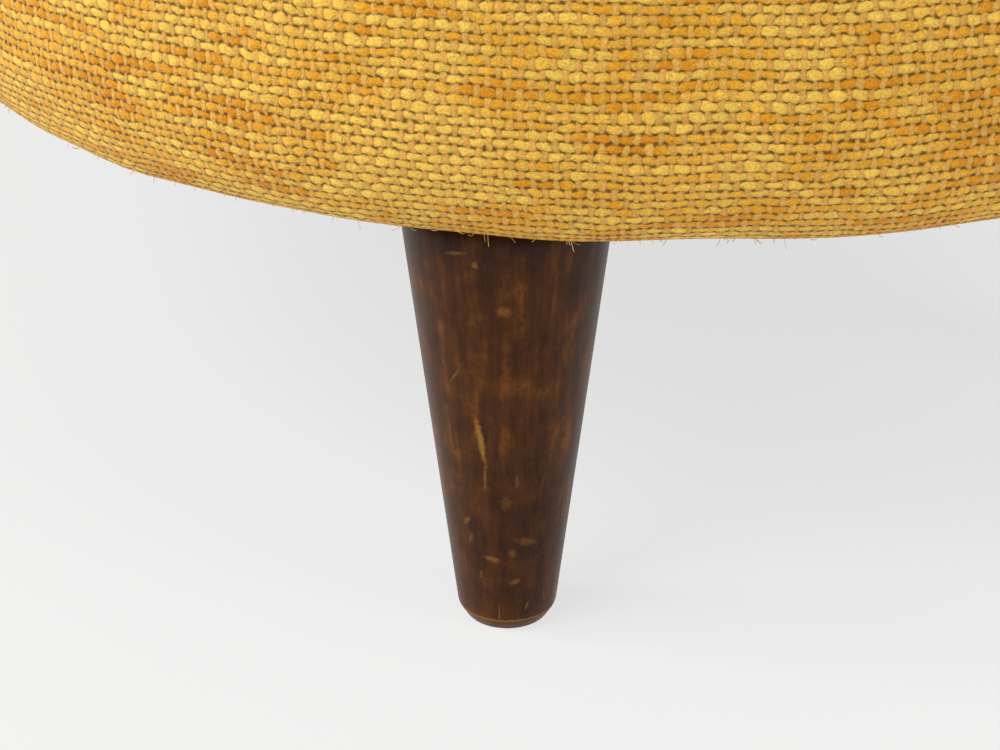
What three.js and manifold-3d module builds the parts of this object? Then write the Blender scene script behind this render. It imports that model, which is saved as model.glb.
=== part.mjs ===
// A crescent-shaped sofa on six turned wooden legs: a padded, webbed plywood base with rounded
// ends, three loose seat cushions, and a curved, raked, tight back carried on four posts.
// Millimetres, +Z up, the front faces -Y. The frame's origin is on the floor, at the centre of
// the sofa's overall width and depth.
import * as THREE from "three";
import { mergeVertices } from "three/addons/utils/BufferGeometryUtils.js";
import Module from "manifold-3d";

const wasm = await Module();
wasm.setup();

// ---- Driving dimensions -------------------------------------------------------------------

// Plan: two end circles joined by a concave front arc and a convex rear arc.
const overallWidth = 2100;
const endRadius = 260;
const frontArcRadius = 1640;
const rearArcRadius = 1440;

// Legs
const legHeight = 142;
const legTopDiameter = 64;
const legFootDiameter = 30;
const legFootEdge = 2.5;
const legInset = 52; // from the widest fabric face to the leg's axis
const endLegAngle = Math.PI / 4; // each side of the end circle's outward direction

// Leg fixings
const boltDiameter = 8;
const boltDepthInLeg = 35;
const boltTip = 5;
const nutBarrelDiameter = 11;
const nutBarrelLength = 11;
const nutFlangeDiameter = 20;
const nutFlangeThickness = 1.5;
const fixingClearance = 0.3;

// Base frame
const plateThickness = 18;
const plateWidth = 104;
const railThickness = 16;
const railHeight = 93;
const endPieceLine = 640; // where the end pieces meet the front and rear pieces
const crossRailThickness = 20;
const crossRailHeight = 70;
const crossRailX = 300;

// Seat support and upholstery of the base
const strapCount = 10; // even, so that a bay between straps lies at the centre
const strapWidth = 50;
const strapSpacing = 150;
const strapThickness = 3;
const strapInset = 27;
const hessianThickness = 1;
const deckPadThickness = 22;
const sidePadThickness = 21;
const coverThickness = 2.5;
const coverTurnUnder = 44; // how far in from the widest face the cover is tacked underneath
const dustCoverThickness = 1;
const dustCoverInset = 22;
const edgeRoundAcross = 18; // the padded edges round over, more in height than in plan
const edgeRoundHeight = 35;

// Seat cushions
const cushionThickness = 130;
const cushionInset = 6;
const cushionGap = 6;
const cushionRoundAcross = 16;
const cushionRoundHeight = 22;
const dividerX = 268; // where the seams between the cushions cross the end circles' centre line
const dividerSplay = THREE.MathUtils.degToRad(8.5);
const zipLength = 260;
const zipSlit = 4;

// Back
const backHeight = 458; // above the base
const backSeatThickness = 116;
const backTopThickness = 80;
const backRearInset = 6;
const backRearRake = Math.tan(THREE.MathUtils.degToRad(12));
const backHalfWidth = 816; // at the rear arc's radius
const backTopEdge = 30;
const backCornerRadius = 120;
const backClearance = 4;
const postBays = [-4, -1, 1, 4]; // the bays between straps that posts stand in, from the centre
const postWidth = 28;
const postDepth = 36;
const postTopGap = 12; // from the post's rear face to the cover at the post's top
const postTopDrop = 44; // from the top of the back to the top of the posts
const backRailThickness = 18;
const backRailHeight = 60;
const topRailThickness = 20;
const backHessianThickness = 1.5;
const passClearance = 1.5; // round a post where it passes through pad and cloth

const gap = 0.3; // between pieces that rest on each other

// How finely curves are divided
const planSag = 1; // the most that the plan's outline may bow in between two of its points
const edgeSteps = 2;
const turnedSteps = 24;
const backSteps = 14;

// ---- Derived plan -------------------------------------------------------------------------

const endX = overallWidth / 2 - endRadius;
const frontCentreY = -Math.sqrt((frontArcRadius + endRadius) ** 2 - endX ** 2);
const rearCentreY = -Math.sqrt((rearArcRadius - endRadius) ** 2 - endX ** 2);
const frontTangent = Math.atan2(-frontCentreY, endX);
const rearTangent = Math.atan2(-rearCentreY, endX);
const backHalfAngle = Math.asin(backHalfWidth / rearArcRadius);

const stepsFor = (radius, angle) => Math.ceil(angle / (2 * Math.acos(1 - planSag / radius)));
const endSteps = stepsFor(endRadius, Math.PI + rearTangent - frontTangent);
const rearSteps = stepsFor(rearArcRadius, Math.PI - 2 * rearTangent);
const frontSteps = stepsFor(frontArcRadius, Math.PI - 2 * frontTangent);

// ---- Derived heights and insets -----------------------------------------------------------

const dustZ = legHeight + gap;
const coverBottomZ = dustZ + dustCoverThickness + gap;
const plateZ = coverBottomZ + coverThickness + gap;
const railZ = plateZ + plateThickness + gap;
const strapZ = railZ + railHeight + gap;
const hessianZ = strapZ + strapThickness + gap;
const deckPadZ = hessianZ + hessianThickness + gap;
const coverTopZ = deckPadZ + deckPadThickness + gap + coverThickness;
const cushionZ = coverTopZ + gap;
const backZ = coverTopZ + gap;
const backTopZ = coverTopZ + backHeight;

const padOuterInset = coverThickness + gap;
const padInnerInset = padOuterInset + sidePadThickness;
const railInset = padInnerInset + gap;
const railInnerInset = railInset + railThickness;

// ---- Solids and meshes --------------------------------------------------------------------

function solidOf(geometry) {
  const bare = geometry.index ? geometry.toNonIndexed() : geometry.clone();
  bare.deleteAttribute("normal");
  bare.deleteAttribute("uv");
  const merged = mergeVertices(bare, 1e-4);
  return new wasm.Manifold(
    new wasm.Mesh({
      numProp: 3,
      vertProperties: merged.attributes.position.array,
      triVerts: new Uint32Array(merged.index.array),
    }),
  );
}

function geometryOf(solid) {
  const mesh = solid.getMesh();
  const geometry = new THREE.BufferGeometry();
  geometry.setAttribute("position", new THREE.BufferAttribute(mesh.vertProperties, 3));
  geometry.setIndex(new THREE.BufferAttribute(mesh.triVerts, 1));
  geometry.computeVertexNormals();
  return geometry;
}

const cut = (solid, ...others) => others.reduce((left, other) => left.subtract(other), solid);

const sofa = new THREE.Group();

function add(name, shape, material) {
  const geometry = shape.isBufferGeometry ? shape : geometryOf(shape);
  const mesh = new THREE.Mesh(geometry, material);
  mesh.name = name;
  sofa.add(mesh);
  return mesh;
}

const finish = (color, roughness, metalness = 0) =>
  new THREE.MeshStandardMaterial({ color, roughness, metalness });

const stainedWood = finish(0x3f2614, 0.42);
const plywood = finish(0xc9a877, 0.75);
const frameWood = finish(0xb9935f, 0.7);
const zincSteel = finish(0xb4b6b8, 0.4, 0.9);
const strapRubber = finish(0x55463a, 0.85);
const hessian = finish(0xa98a5c, 0.95);
const cottonFelt = finish(0xdcd3c0, 1);
const foam = finish(0xe6d79f, 1);
const tweed = finish(0xd9a441, 0.95);
const cambric = finish(0x26241f, 0.95);

// ---- Plan shapes --------------------------------------------------------------------------

function arcPoints(x, y, radius, from, to, steps) {
  const arc = new THREE.EllipseCurve(x, y, radius, radius, from, to, to < from);
  return arc.getPoints(steps).slice(0, -1);
}

// The crescent's outline, moved in by inset all round.
function planShape(inset) {
  const end = endRadius - inset;
  const rear = rearArcRadius - inset;
  const front = frontArcRadius + inset;
  return new THREE.Shape([
    ...arcPoints(endX, 0, end, frontTangent - Math.PI, rearTangent, endSteps),
    ...arcPoints(0, rearCentreY, rear, rearTangent, Math.PI - rearTangent, rearSteps),
    ...arcPoints(-endX, 0, end, Math.PI - rearTangent, 2 * Math.PI - frontTangent, endSteps),
    ...arcPoints(0, frontCentreY, front, Math.PI - frontTangent, frontTangent, frontSteps),
  ]);
}

function planPrism(inset, z0, z1) {
  const prism = new THREE.ExtrudeGeometry(planShape(inset), {
    depth: z1 - z0,
    bevelEnabled: false,
  });
  return solidOf(prism.translate(0, 0, z0));
}

// A crescent block whose upper and lower edges are rounded over.
function paddedBlock(inset, z0, z1, across, height) {
  const block = new THREE.ExtrudeGeometry(planShape(inset), {
    depth: z1 - z0 - 2 * height,
    bevelEnabled: true,
    bevelSize: across,
    bevelOffset: -across,
    bevelThickness: height,
    bevelSegments: edgeSteps,
  });
  return solidOf(block.translate(0, 0, z0 + height));
}

function box(x0, x1, y0, y1, z0, z1) {
  const geometry = new THREE.BoxGeometry(x1 - x0, y1 - y0, z1 - z0);
  return solidOf(geometry.translate((x0 + x1) / 2, (y0 + y1) / 2, (z0 + z1) / 2));
}

function upright(radius, x, y, z0, z1) {
  const geometry = new THREE.CylinderGeometry(radius, radius, z1 - z0, turnedSteps);
  return solidOf(geometry.rotateX(Math.PI / 2).translate(x, y, (z0 + z1) / 2));
}

// ---- Legs and their fixings ---------------------------------------------------------------

const legReach = endRadius - legInset;
const endLeg = (side, along) => [
  side * (endX + legReach * Math.cos(endLegAngle)),
  along * legReach * Math.sin(endLegAngle),
];
const legPlaces = {
  front_left: endLeg(-1, -1),
  rear_left: endLeg(-1, 1),
  front_right: endLeg(1, -1),
  rear_right: endLeg(1, 1),
  front_centre: [0, frontCentreY + frontArcRadius + legInset],
  rear_centre: [0, rearCentreY + rearArcRadius - legInset],
};

const boltRadius = boltDiameter / 2;
const boltHoleRadius = boltRadius + fixingClearance;
const nutHoleRadius = nutBarrelDiameter / 2 + fixingClearance;
const legTopRadius = legTopDiameter / 2;
const legFootRadius = legFootDiameter / 2;

function turned(profile) {
  const points = profile.map(([radius, z]) => new THREE.Vector2(radius, z));
  return new THREE.LatheGeometry(points, turnedSteps).rotateX(Math.PI / 2);
}

function legGeometry() {
  return turned([
    [0, 0],
    [legFootRadius - legFootEdge, 0],
    [legFootRadius - legFootEdge * 0.3, legFootEdge * 0.3],
    [legFootRadius, legFootEdge],
    [legTopRadius, legHeight],
    [boltHoleRadius, legHeight],
    [boltHoleRadius, legHeight - boltDepthInLeg - gap],
    [0, legHeight - boltDepthInLeg - gap],
  ]);
}

function hangerBoltGeometry() {
  const foot = legHeight - boltDepthInLeg;
  const head = plateZ + plateThickness;
  return turned([
    [0, foot],
    [boltRadius, foot + boltTip],
    [boltRadius, head],
    [0, head],
  ]);
}

function teeNutGeometry() {
  const seat = plateZ + plateThickness + gap;
  const barrel = nutBarrelDiameter / 2;
  const profile = [
    [boltHoleRadius, seat - nutBarrelLength],
    [barrel, seat - nutBarrelLength],
    [barrel, seat],
    [nutFlangeDiameter / 2, seat],
    [nutFlangeDiameter / 2, seat + nutFlangeThickness],
    [boltHoleRadius, seat + nutFlangeThickness],
    [boltHoleRadius, seat - nutBarrelLength],
  ];
  return turned(profile);
}

for (const [place, [x, y]] of Object.entries(legPlaces)) {
  add(`leg_${place}`, legGeometry(), stainedWood).position.set(x, y, 0);
  add(`hanger_bolt_${place}`, hangerBoltGeometry(), zincSteel).position.set(x, y, 0);
  add(`tee_nut_${place}`, teeNutGeometry(), zincSteel).position.set(x, y, 0);
}

const atLegs = (radius, z0, z1) =>
  Object.values(legPlaces).map(([x, y]) => upright(radius, x, y, z0, z1));

// ---- Base frame: plywood ring, standing rails and cross rails ------------------------------

// A point between the front and rear limbs of the ring, wherever it is cut.
const middleY = (frontCentreY + frontArcRadius + rearCentreY + rearArcRadius) / 2;
const far = overallWidth;

function framePieces(name, outerInset, innerInset, z0, z1, material, holes = []) {
  const ring = cut(
    planPrism(outerInset, z0, z1),
    planPrism(innerInset, z0 - 1, z1 + 1),
    ...holes,
  );
  const inside = endPieceLine - gap / 2;
  const outside = endPieceLine + gap / 2;
  const piece = (end, x0, x1, y0, y1) =>
    add(`${name}_${end}`, ring.intersect(box(x0, x1, y0, y1, z0 - 1, z1 + 1)), material);
  piece("front", -inside, inside, -far, middleY);
  piece("rear", -inside, inside, middleY, far);
  piece("left_end", -far, -outside, -far, far);
  piece("right_end", outside, far, -far, far);
}

framePieces(
  "base_plate",
  railInset,
  railInset + plateWidth,
  plateZ,
  plateZ + plateThickness,
  plywood,
  atLegs(nutHoleRadius, plateZ - 1, plateZ + plateThickness + 1),
);
framePieces("rail", railInset, railInnerInset, railZ, railZ + railHeight, frameWood);

const insideRails = planPrism(railInnerInset + gap, railZ, railZ + railHeight);
for (const [side, x] of Object.entries({ left: -crossRailX, right: crossRailX })) {
  const half = crossRailThickness / 2;
  const long = box(x - half, x + half, -far, far, railZ, railZ + crossRailHeight);
  add(`cross_rail_${side}`, long.intersect(insideRails), frameWood);
}

// ---- The back's section, swept about the rear arc's centre ----------------------------------

const backRearFoot = rearArcRadius - backRearInset;
const backFrontFoot = backRearFoot - backSeatThickness;
const backRearTop = backRearFoot + backHeight * backRearRake;
const backFrontTop = backRearTop - backTopThickness;
const backFrontRake = (backFrontTop - backFrontFoot) / backHeight;
const facetSag = backRearTop * (1 - Math.cos(backHalfAngle / backSteps)); // of a sweep's steps
const rearFace = (z) => backRearFoot + (z - coverTopZ) * backRearRake;
const frontFace = (z) => backFrontFoot + (z - coverTopZ) * backFrontRake;

class RearArc extends THREE.Curve {
  constructor(halfAngle) {
    super();
    this.halfAngle = halfAngle;
  }

  getPoint(t, target = new THREE.Vector3()) {
    const angle = Math.PI / 2 + this.halfAngle * (2 * t - 1);
    return target.set(
      rearArcRadius * Math.cos(angle),
      rearCentreY + rearArcRadius * Math.sin(angle),
      0,
    );
  }
}

// Sweeps a section, given as [radius, z] corners, through halfAngle each side of the centre.
// Along this path an extruded shape's x points down and its y points towards the axis.
function sweep(corners, halfAngle) {
  const section = new THREE.Shape(
    corners.map(([radius, z]) => new THREE.Vector2(-z, rearArcRadius - radius)),
  );
  return solidOf(
    new THREE.ExtrudeGeometry(section, {
      steps: backSteps,
      bevelEnabled: false,
      extrudePath: new RearArc(halfAngle),
    }),
  );
}

// The back's outer section, drawn in by shrink, from the height z0 up.
function backSection(shrink, z0) {
  const top = backTopZ - shrink;
  const edge = backTopEdge - shrink;
  const front = (z) => frontFace(z) + shrink;
  const rear = (z) => rearFace(z) - shrink;
  const easing = edge * 0.3;
  return [
    [front(z0), z0],
    [rear(z0), z0],
    [rear(top - edge), top - edge],
    [rear(top - easing) - easing, top - easing],
    [rear(top) - edge, top],
    [front(top) + edge, top],
    [front(top - easing) + easing, top - easing],
    [front(top - edge), top - edge],
  ];
}

// Everything below the back's rounded top corners, seen from the front.
function belowBackCorners(shrink) {
  const half = (backRearTop - backTopThickness / 2) * Math.sin(backHalfAngle) - shrink;
  const radius = backCornerRadius - shrink;
  const top = backTopZ - shrink;
  const outline = new THREE.Shape([
    new THREE.Vector2(-far, 0),
    new THREE.Vector2(far, 0),
    new THREE.Vector2(far, top - radius),
    ...arcPoints(half - radius, top - radius, radius, 0, Math.PI / 2, edgeSteps * 2),
    new THREE.Vector2(half - radius, top),
    ...arcPoints(radius - half, top - radius, radius, Math.PI / 2, Math.PI, edgeSteps * 2),
    new THREE.Vector2(-half, top - radius),
    new THREE.Vector2(-far, top - radius),
  ]);
  const plate = new THREE.ExtrudeGeometry(outline, { depth: 2 * far, bevelEnabled: false });
  return solidOf(plate.rotateX(Math.PI / 2).translate(0, far, 0));
}

function backBody(shrink, z0) {
  const halfAngle = backHalfAngle - shrink / rearArcRadius;
  return sweep(backSection(shrink, z0), halfAngle).intersect(belowBackCorners(shrink));
}

// The room that the back takes, with clearance round it, for what lies against it.
function backRoom(clearance, z0, z1) {
  const corners = [
    [frontFace(z0) - clearance, z0],
    [rearFace(z0) + 2 * backTopThickness, z0],
    [rearFace(z1) + 2 * backTopThickness, z1],
    [frontFace(z1) - clearance, z1],
  ];
  return sweep(corners, backHalfAngle + clearance / rearArcRadius);
}

// ---- Posts and rails of the back ------------------------------------------------------------

const postTopZ = backTopZ - postTopDrop;
const postRearFoot = rearArcRadius - railInnerInset - gap;
const postRearTop = rearFace(postTopZ) - postTopGap;
const postRake = (postRearTop - postRearFoot) / (postTopZ - coverTopZ);
const postRear = (z) => postRearFoot + Math.max(0, z - coverTopZ) * postRake;
const postFront = (z) => postRear(z) - postDepth;

const postAngles = postBays.map((bay) =>
  Math.asin((bay * strapSpacing) / (postRearFoot - postDepth / 2)),
);

// One bent post, grown by grow on its four sides.
function post(angle, grow) {
  const corners = [
    [postFront(railZ) - grow, railZ],
    [postRear(railZ) + grow, railZ],
    [postRear(coverTopZ) + grow, coverTopZ],
    [postRear(postTopZ) + grow, postTopZ],
    [postFront(postTopZ) - grow, postTopZ],
    [postFront(coverTopZ) - grow, coverTopZ],
  ];
  const profile = new THREE.Shape(corners.map(([radius, z]) => new THREE.Vector2(radius, z)));
  const width = postWidth + 2 * grow;
  const slab = new THREE.ExtrudeGeometry(profile, { depth: width, bevelEnabled: false });
  slab.translate(0, 0, -width / 2).rotateX(Math.PI / 2);
  return solidOf(slab.rotateZ(Math.PI / 2 - angle).translate(0, rearCentreY, 0));
}

const railRoom = cut(
  planPrism(railInset - gap, railZ - 1, railZ + railHeight + gap),
  planPrism(railInnerInset + gap, railZ - 2, railZ + railHeight + 1),
);
postAngles.forEach((angle, i) => {
  add(`back_post_${i + 1}`, cut(post(angle, 0), railRoom), frameWood);
});
const postPasses = postAngles.map((angle) => post(angle, passClearance));

const backFrameHalfAngle = backHalfAngle - backCornerRadius / rearArcRadius;
const backRailZ = backZ + coverThickness;
const backRailTopZ = backRailZ + backRailHeight;
const backRailFront = (z) => postRear(z) + gap + facetSag;
add(
  "back_bottom_rail",
  sweep(
    [
      [backRailFront(backRailZ), backRailZ],
      [backRailFront(backRailZ) + backRailThickness, backRailZ],
      [backRailFront(backRailTopZ) + backRailThickness, backRailTopZ],
      [backRailFront(backRailTopZ), backRailTopZ],
    ],
    backFrameHalfAngle,
  ),
  frameWood,
);

const topRailZ = postTopZ + gap;
const topRailFront = postFront(postTopZ);
const topRailRear = postRear(postTopZ);
const topRailTopZ = topRailZ + topRailThickness;
add(
  "back_top_rail",
  sweep(
    [
      [topRailFront, topRailZ],
      [topRailRear, topRailZ],
      [topRailRear, topRailTopZ],
      [topRailFront, topRailTopZ],
    ],
    backFrameHalfAngle,
  ),
  frameWood,
);

// The sheet on the posts' front faces.
const sheetRear = (z) => postFront(z) - gap;
const sheetFront = (z) => sheetRear(z) - backHessianThickness;
const sheetFootZ = backZ + coverThickness;
add(
  "back_hessian",
  sweep(
    [
      [sheetFront(sheetFootZ), sheetFootZ],
      [sheetRear(sheetFootZ), sheetFootZ],
      [sheetRear(postTopZ), postTopZ],
      [sheetFront(postTopZ), postTopZ],
    ],
    backFrameHalfAngle,
  ),
  hessian,
);

// ---- Upholstery of the back -----------------------------------------------------------------

// The foam pads the front and rolls over the top rail.
const foamShrink = coverThickness + gap;
const foamRear = (z) => sheetFront(z) - gap - facetSag;
const topRailClearance = gap + facetSag;
const foamBelowTop = sweep(
  [
    [frontFace(0), 0],
    [foamRear(sheetFootZ), 0],
    [foamRear(sheetFootZ), sheetFootZ],
    [foamRear(postTopZ), postTopZ],
    [topRailFront - topRailClearance, topRailZ],
    [topRailFront - topRailClearance, topRailTopZ + gap],
    [topRailRear + 2 * backTopThickness, topRailTopZ + gap],
    [topRailRear + 2 * backTopThickness, 2 * backTopZ],
    [frontFace(0), 2 * backTopZ],
  ],
  backHalfAngle,
);
add("back_foam", backBody(foamShrink, backZ + gap).intersect(foamBelowTop), foam);
add(
  "back_cover",
  cut(backBody(0, backZ), backBody(coverThickness, backZ - 1)),
  tweed,
);

// ---- Seat support and upholstery of the base -------------------------------------------------

const onRails = planPrism(strapInset, strapZ, strapZ + strapThickness);
for (let i = 0; i < strapCount; i++) {
  const x = (i - (strapCount - 1) / 2) * strapSpacing;
  const long = box(x - strapWidth / 2, x + strapWidth / 2, -far, far, strapZ - 1, strapZ + far);
  add(`seat_strap_${i + 1}`, long.intersect(onRails), strapRubber);
}

add(
  "deck_hessian",
  cut(planPrism(railInset, hessianZ, hessianZ + hessianThickness), ...postPasses),
  hessian,
);
add(
  "deck_pad",
  cut(planPrism(railInset, deckPadZ, deckPadZ + deckPadThickness), ...postPasses),
  cottonFelt,
);
add(
  "side_padding",
  cut(
    paddedBlock(padOuterInset, plateZ, coverTopZ - padOuterInset, edgeRoundAcross, edgeRoundHeight),
    planPrism(padInnerInset, 0, far),
  ),
  foam,
);

const coverInside = paddedBlock(
  coverThickness,
  coverBottomZ + coverThickness,
  coverTopZ - coverThickness,
  edgeRoundAcross,
  edgeRoundHeight,
);
add(
  "base_cover",
  cut(
    paddedBlock(0, coverBottomZ, coverTopZ, edgeRoundAcross, edgeRoundHeight),
    coverInside,
    planPrism(coverTurnUnder, 0, plateZ),
    ...postPasses,
  ),
  tweed,
);
add(
  "dust_cover",
  cut(
    planPrism(dustCoverInset, dustZ, dustZ + dustCoverThickness),
    ...atLegs(nutHoleRadius, 0, plateZ),
  ),
  cambric,
);

// ---- Seat cushions ----------------------------------------------------------------------------

// All that lies beyond the seam between the centre cushion and the one on that side.
function beyondDivider(side, offset) {
  const block = new THREE.BoxGeometry(far, 2 * far, far);
  block.translate(far / 2 + offset, 0, 0).rotateZ(-dividerSplay).translate(dividerX, 0, 0);
  if (side < 0) block.rotateY(Math.PI);
  return solidOf(block);
}

const centreY = (y0, y1) => (y0 + y1) / 2;

function cushionBody(side, shrink) {
  const z0 = cushionZ + shrink;
  const z1 = cushionZ + cushionThickness - shrink;
  const seat = cut(
    paddedBlock(cushionInset + shrink, z0, z1, cushionRoundAcross, cushionRoundHeight),
    backRoom(backClearance + shrink, z0 - 1, z1 + 1),
  );
  const half = cushionGap / 2;
  if (side) return seat.intersect(beyondDivider(side, half + shrink));
  return cut(seat, beyondDivider(1, -half - shrink), beyondDivider(-1, -half - shrink));
}

// The zip's opening in the cover's rear wall, at an angle from the centre.
function zipOpening(angle) {
  const slit = new THREE.BoxGeometry(zipLength, 3 * backSeatThickness, zipSlit);
  slit.translate(0, backFrontFoot + backSeatThickness, cushionZ + cushionThickness / 2);
  return solidOf(slit.rotateZ(-angle).translate(0, rearCentreY, 0));
}

const zipAngle = centreY(Math.asin(dividerX / backFrontFoot) + dividerSplay / 2, backHalfAngle);
for (const [name, side] of Object.entries({ left: -1, centre: 0, right: 1 })) {
  const cover = cut(
    cushionBody(side, 0),
    cushionBody(side, coverThickness),
    zipOpening(side * zipAngle),
  );
  add(`cushion_cover_${name}`, cover, tweed);
  add(`cushion_foam_${name}`, cushionBody(side, coverThickness + gap), foam);
}

// The origin is at the centre of the overall depth, from the ends' fronts to the back's top.
sofa.position.y = -centreY(-endRadius, rearCentreY + backRearTop);

export default sofa;
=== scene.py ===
"""A crescent sofa with round ends, on six turned and stained wooden legs.

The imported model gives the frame: every size and place is taken from its nodes, in metres. This file
makes what is seen: the tweed over the base, three loose seat cushions and the back, the legs, the
loose fibres of the cloth, and a plain studio.
"""

import logging
import math
from collections.abc import Callable, Sequence
from dataclasses import dataclass, field
from enum import Enum

import bpy
import numpy as np
from mathutils import Matrix, Vector


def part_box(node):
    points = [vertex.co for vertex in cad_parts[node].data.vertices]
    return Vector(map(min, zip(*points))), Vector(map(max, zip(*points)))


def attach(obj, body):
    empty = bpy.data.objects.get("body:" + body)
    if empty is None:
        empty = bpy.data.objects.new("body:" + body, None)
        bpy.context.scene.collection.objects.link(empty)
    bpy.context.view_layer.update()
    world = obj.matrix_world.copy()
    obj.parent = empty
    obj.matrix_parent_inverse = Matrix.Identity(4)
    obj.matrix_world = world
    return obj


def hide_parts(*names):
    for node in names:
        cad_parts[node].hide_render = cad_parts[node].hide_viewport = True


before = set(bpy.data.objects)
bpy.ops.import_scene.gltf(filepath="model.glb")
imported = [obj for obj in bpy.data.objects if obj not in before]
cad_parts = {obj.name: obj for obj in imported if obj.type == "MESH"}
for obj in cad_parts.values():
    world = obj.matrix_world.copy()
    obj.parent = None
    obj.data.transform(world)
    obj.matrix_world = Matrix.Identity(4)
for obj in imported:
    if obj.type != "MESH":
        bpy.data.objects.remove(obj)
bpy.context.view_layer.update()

log = logging.getLogger("sofa")

WEAVE_MAP = "weave"
SEAM_GROUP = "seam"
HERO_BEARING = -32.13


# ---- Modelling helpers ---------------------------------------------------------------------------


def select_only(obj: bpy.types.Object) -> None:
    """Makes obj the only selected object, and the active one."""
    bpy.ops.object.select_all(action="DESELECT")
    obj.select_set(True)
    bpy.context.view_layer.objects.active = obj


def start_edit(obj: bpy.types.Object, element: str = "FACE", everything: bool = True) -> None:
    """Opens obj for editing.

    Args:
        obj: The mesh to edit.
        element: VERT, EDGE or FACE, what the selection holds.
        everything: Whether all of it starts selected; otherwise nothing is.
    """
    select_only(obj)
    bpy.ops.object.mode_set(mode="EDIT")
    bpy.ops.mesh.select_mode(type=element)
    bpy.ops.mesh.select_all(action="SELECT" if everything else "DESELECT")


def end_edit() -> None:
    """Goes back to object mode."""
    bpy.ops.object.mode_set(mode="OBJECT")


def points_of(obj: bpy.types.Object) -> np.ndarray:
    """The mesh's vertices, one row each."""
    points = np.empty(len(obj.data.vertices) * 3, dtype=np.float32)
    obj.data.vertices.foreach_get("co", points)
    return points.reshape(-1, 3).astype(float)


def place_points(obj: bpy.types.Object, points: np.ndarray) -> None:
    """Moves the mesh's vertices to points."""
    obj.data.vertices.foreach_set("co", np.ascontiguousarray(points, dtype=np.float32).ravel())
    obj.data.update()


def normals_of(obj: bpy.types.Object) -> np.ndarray:
    """The mesh's vertex normals, one row each."""
    normals = np.empty(len(obj.data.vertices) * 3, dtype=np.float32)
    obj.data.vertex_normals.foreach_get("vector", normals)
    return normals.reshape(-1, 3).astype(float)


def select_faces(obj: bpy.types.Object, test: Callable[[bpy.types.MeshPolygon], bool]) -> None:
    """Selects the faces that pass test and nothing else, from object mode."""
    mesh = obj.data
    mesh.vertices.foreach_set("select", np.zeros(len(mesh.vertices), dtype=bool))
    mesh.edges.foreach_set("select", np.zeros(len(mesh.edges), dtype=bool))
    mesh.polygons.foreach_set("select", [test(face) for face in mesh.polygons])


def open_on_faces(obj: bpy.types.Object, test: Callable[[bpy.types.MeshPolygon], bool]) -> None:
    """Opens obj for editing with only the faces that pass test selected."""
    select_only(obj)
    bpy.ops.object.mode_set(mode="EDIT")
    bpy.ops.mesh.select_mode(type="FACE")
    bpy.ops.mesh.select_all(action="DESELECT")
    bpy.ops.object.mode_set(mode="OBJECT")
    select_faces(obj, test)
    bpy.ops.object.mode_set(mode="EDIT")


def apply_subdivision(obj: bpy.types.Object, levels: int) -> None:
    """Subdivides obj smoothly and applies it."""
    select_only(obj)
    bpy.ops.object.modifier_add(type="SUBSURF")
    modifier = obj.modifiers[-1]
    modifier.levels = modifier.render_levels = levels
    modifier.uv_smooth = "NONE"
    modifier.boundary_smooth = "PRESERVE_CORNERS"
    bpy.ops.object.modifier_apply(modifier=modifier.name)


def shade_smooth(obj: bpy.types.Object) -> None:
    """Smooths the shading of all of obj."""
    select_only(obj)
    bpy.ops.object.shade_smooth()


def dress(obj: bpy.types.Object, material: bpy.types.Material) -> None:
    """Gives obj one material, in place of any it has."""
    if obj.material_slots:
        for slot in obj.material_slots:
            slot.material = material
    else:
        obj.data.materials.append(material)


def prism(name: str, outline: np.ndarray, low: float, high: float) -> bpy.types.Object:
    """Makes a closed upright prism.

    Args:
        name: The piece's name.
        outline: Its outline seen from above, anticlockwise, one (x, y) row a point.
        low: The height of its foot.
        high: The height of its top.

    Returns:
        The new object, at the origin.
    """
    bpy.ops.object.select_all(action="DESELECT")
    bpy.ops.mesh.primitive_circle_add(vertices=len(outline), radius=1, fill_type="NGON")
    obj = bpy.context.object
    obj.name = obj.data.name = name
    place_points(obj, np.column_stack([outline, np.full(len(outline), low)]))
    start_edit(obj)
    bpy.ops.mesh.extrude_region_move(TRANSFORM_OT_translate={"value": (0, 0, high - low)})
    bpy.ops.mesh.select_all(action="SELECT")
    bpy.ops.mesh.normals_make_consistent(inside=False)
    end_edit()
    return obj


def slice_at(places: Sequence[float], axis: int) -> None:
    """Cuts the mesh being edited at each place along axis, without parting it."""
    normal = [0.0, 0.0, 0.0]
    normal[axis] = 1.0
    for place in places:
        bpy.ops.mesh.select_all(action="SELECT")
        bpy.ops.mesh.bisect(plane_co=[place * n for n in normal], plane_no=normal)


def even_places(low: float, high: float, spacing: float) -> np.ndarray:
    """The places between low and high, not counting the two, about spacing apart."""
    count = max(2, round((high - low) / spacing))
    return np.linspace(low, high, count + 1)[1:-1]


def steady_noise(points: np.ndarray, wavelength: float, seed: int) -> np.ndarray:
    """Smooth, wandering values from about -1 to 1.

    Args:
        points: Where the values are wanted, one row each.
        wavelength: The size of the swells.
        seed: Which pattern is taken.

    Returns:
        One value for each point: a sum of plane waves in seeded directions.
    """
    rng = np.random.default_rng(seed)
    total = np.zeros(len(points))
    waves = 14
    for _ in range(waves):
        direction = rng.normal(size=points.shape[1])
        direction /= np.linalg.norm(direction)
        length = wavelength * rng.uniform(0.7, 1.7)
        phase = rng.uniform(0, 2 * math.pi)
        total += np.sin(points @ direction * (2 * math.pi / length) + phase)
    return total / math.sqrt(waves)


def smooth_step(low: float, high: float, value: np.ndarray) -> np.ndarray:
    """0 below low, 1 above high, and an even ease between them."""
    t = np.clip((value - low) / (high - low), 0, 1)
    return t * t * (3 - 2 * t)


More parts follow.
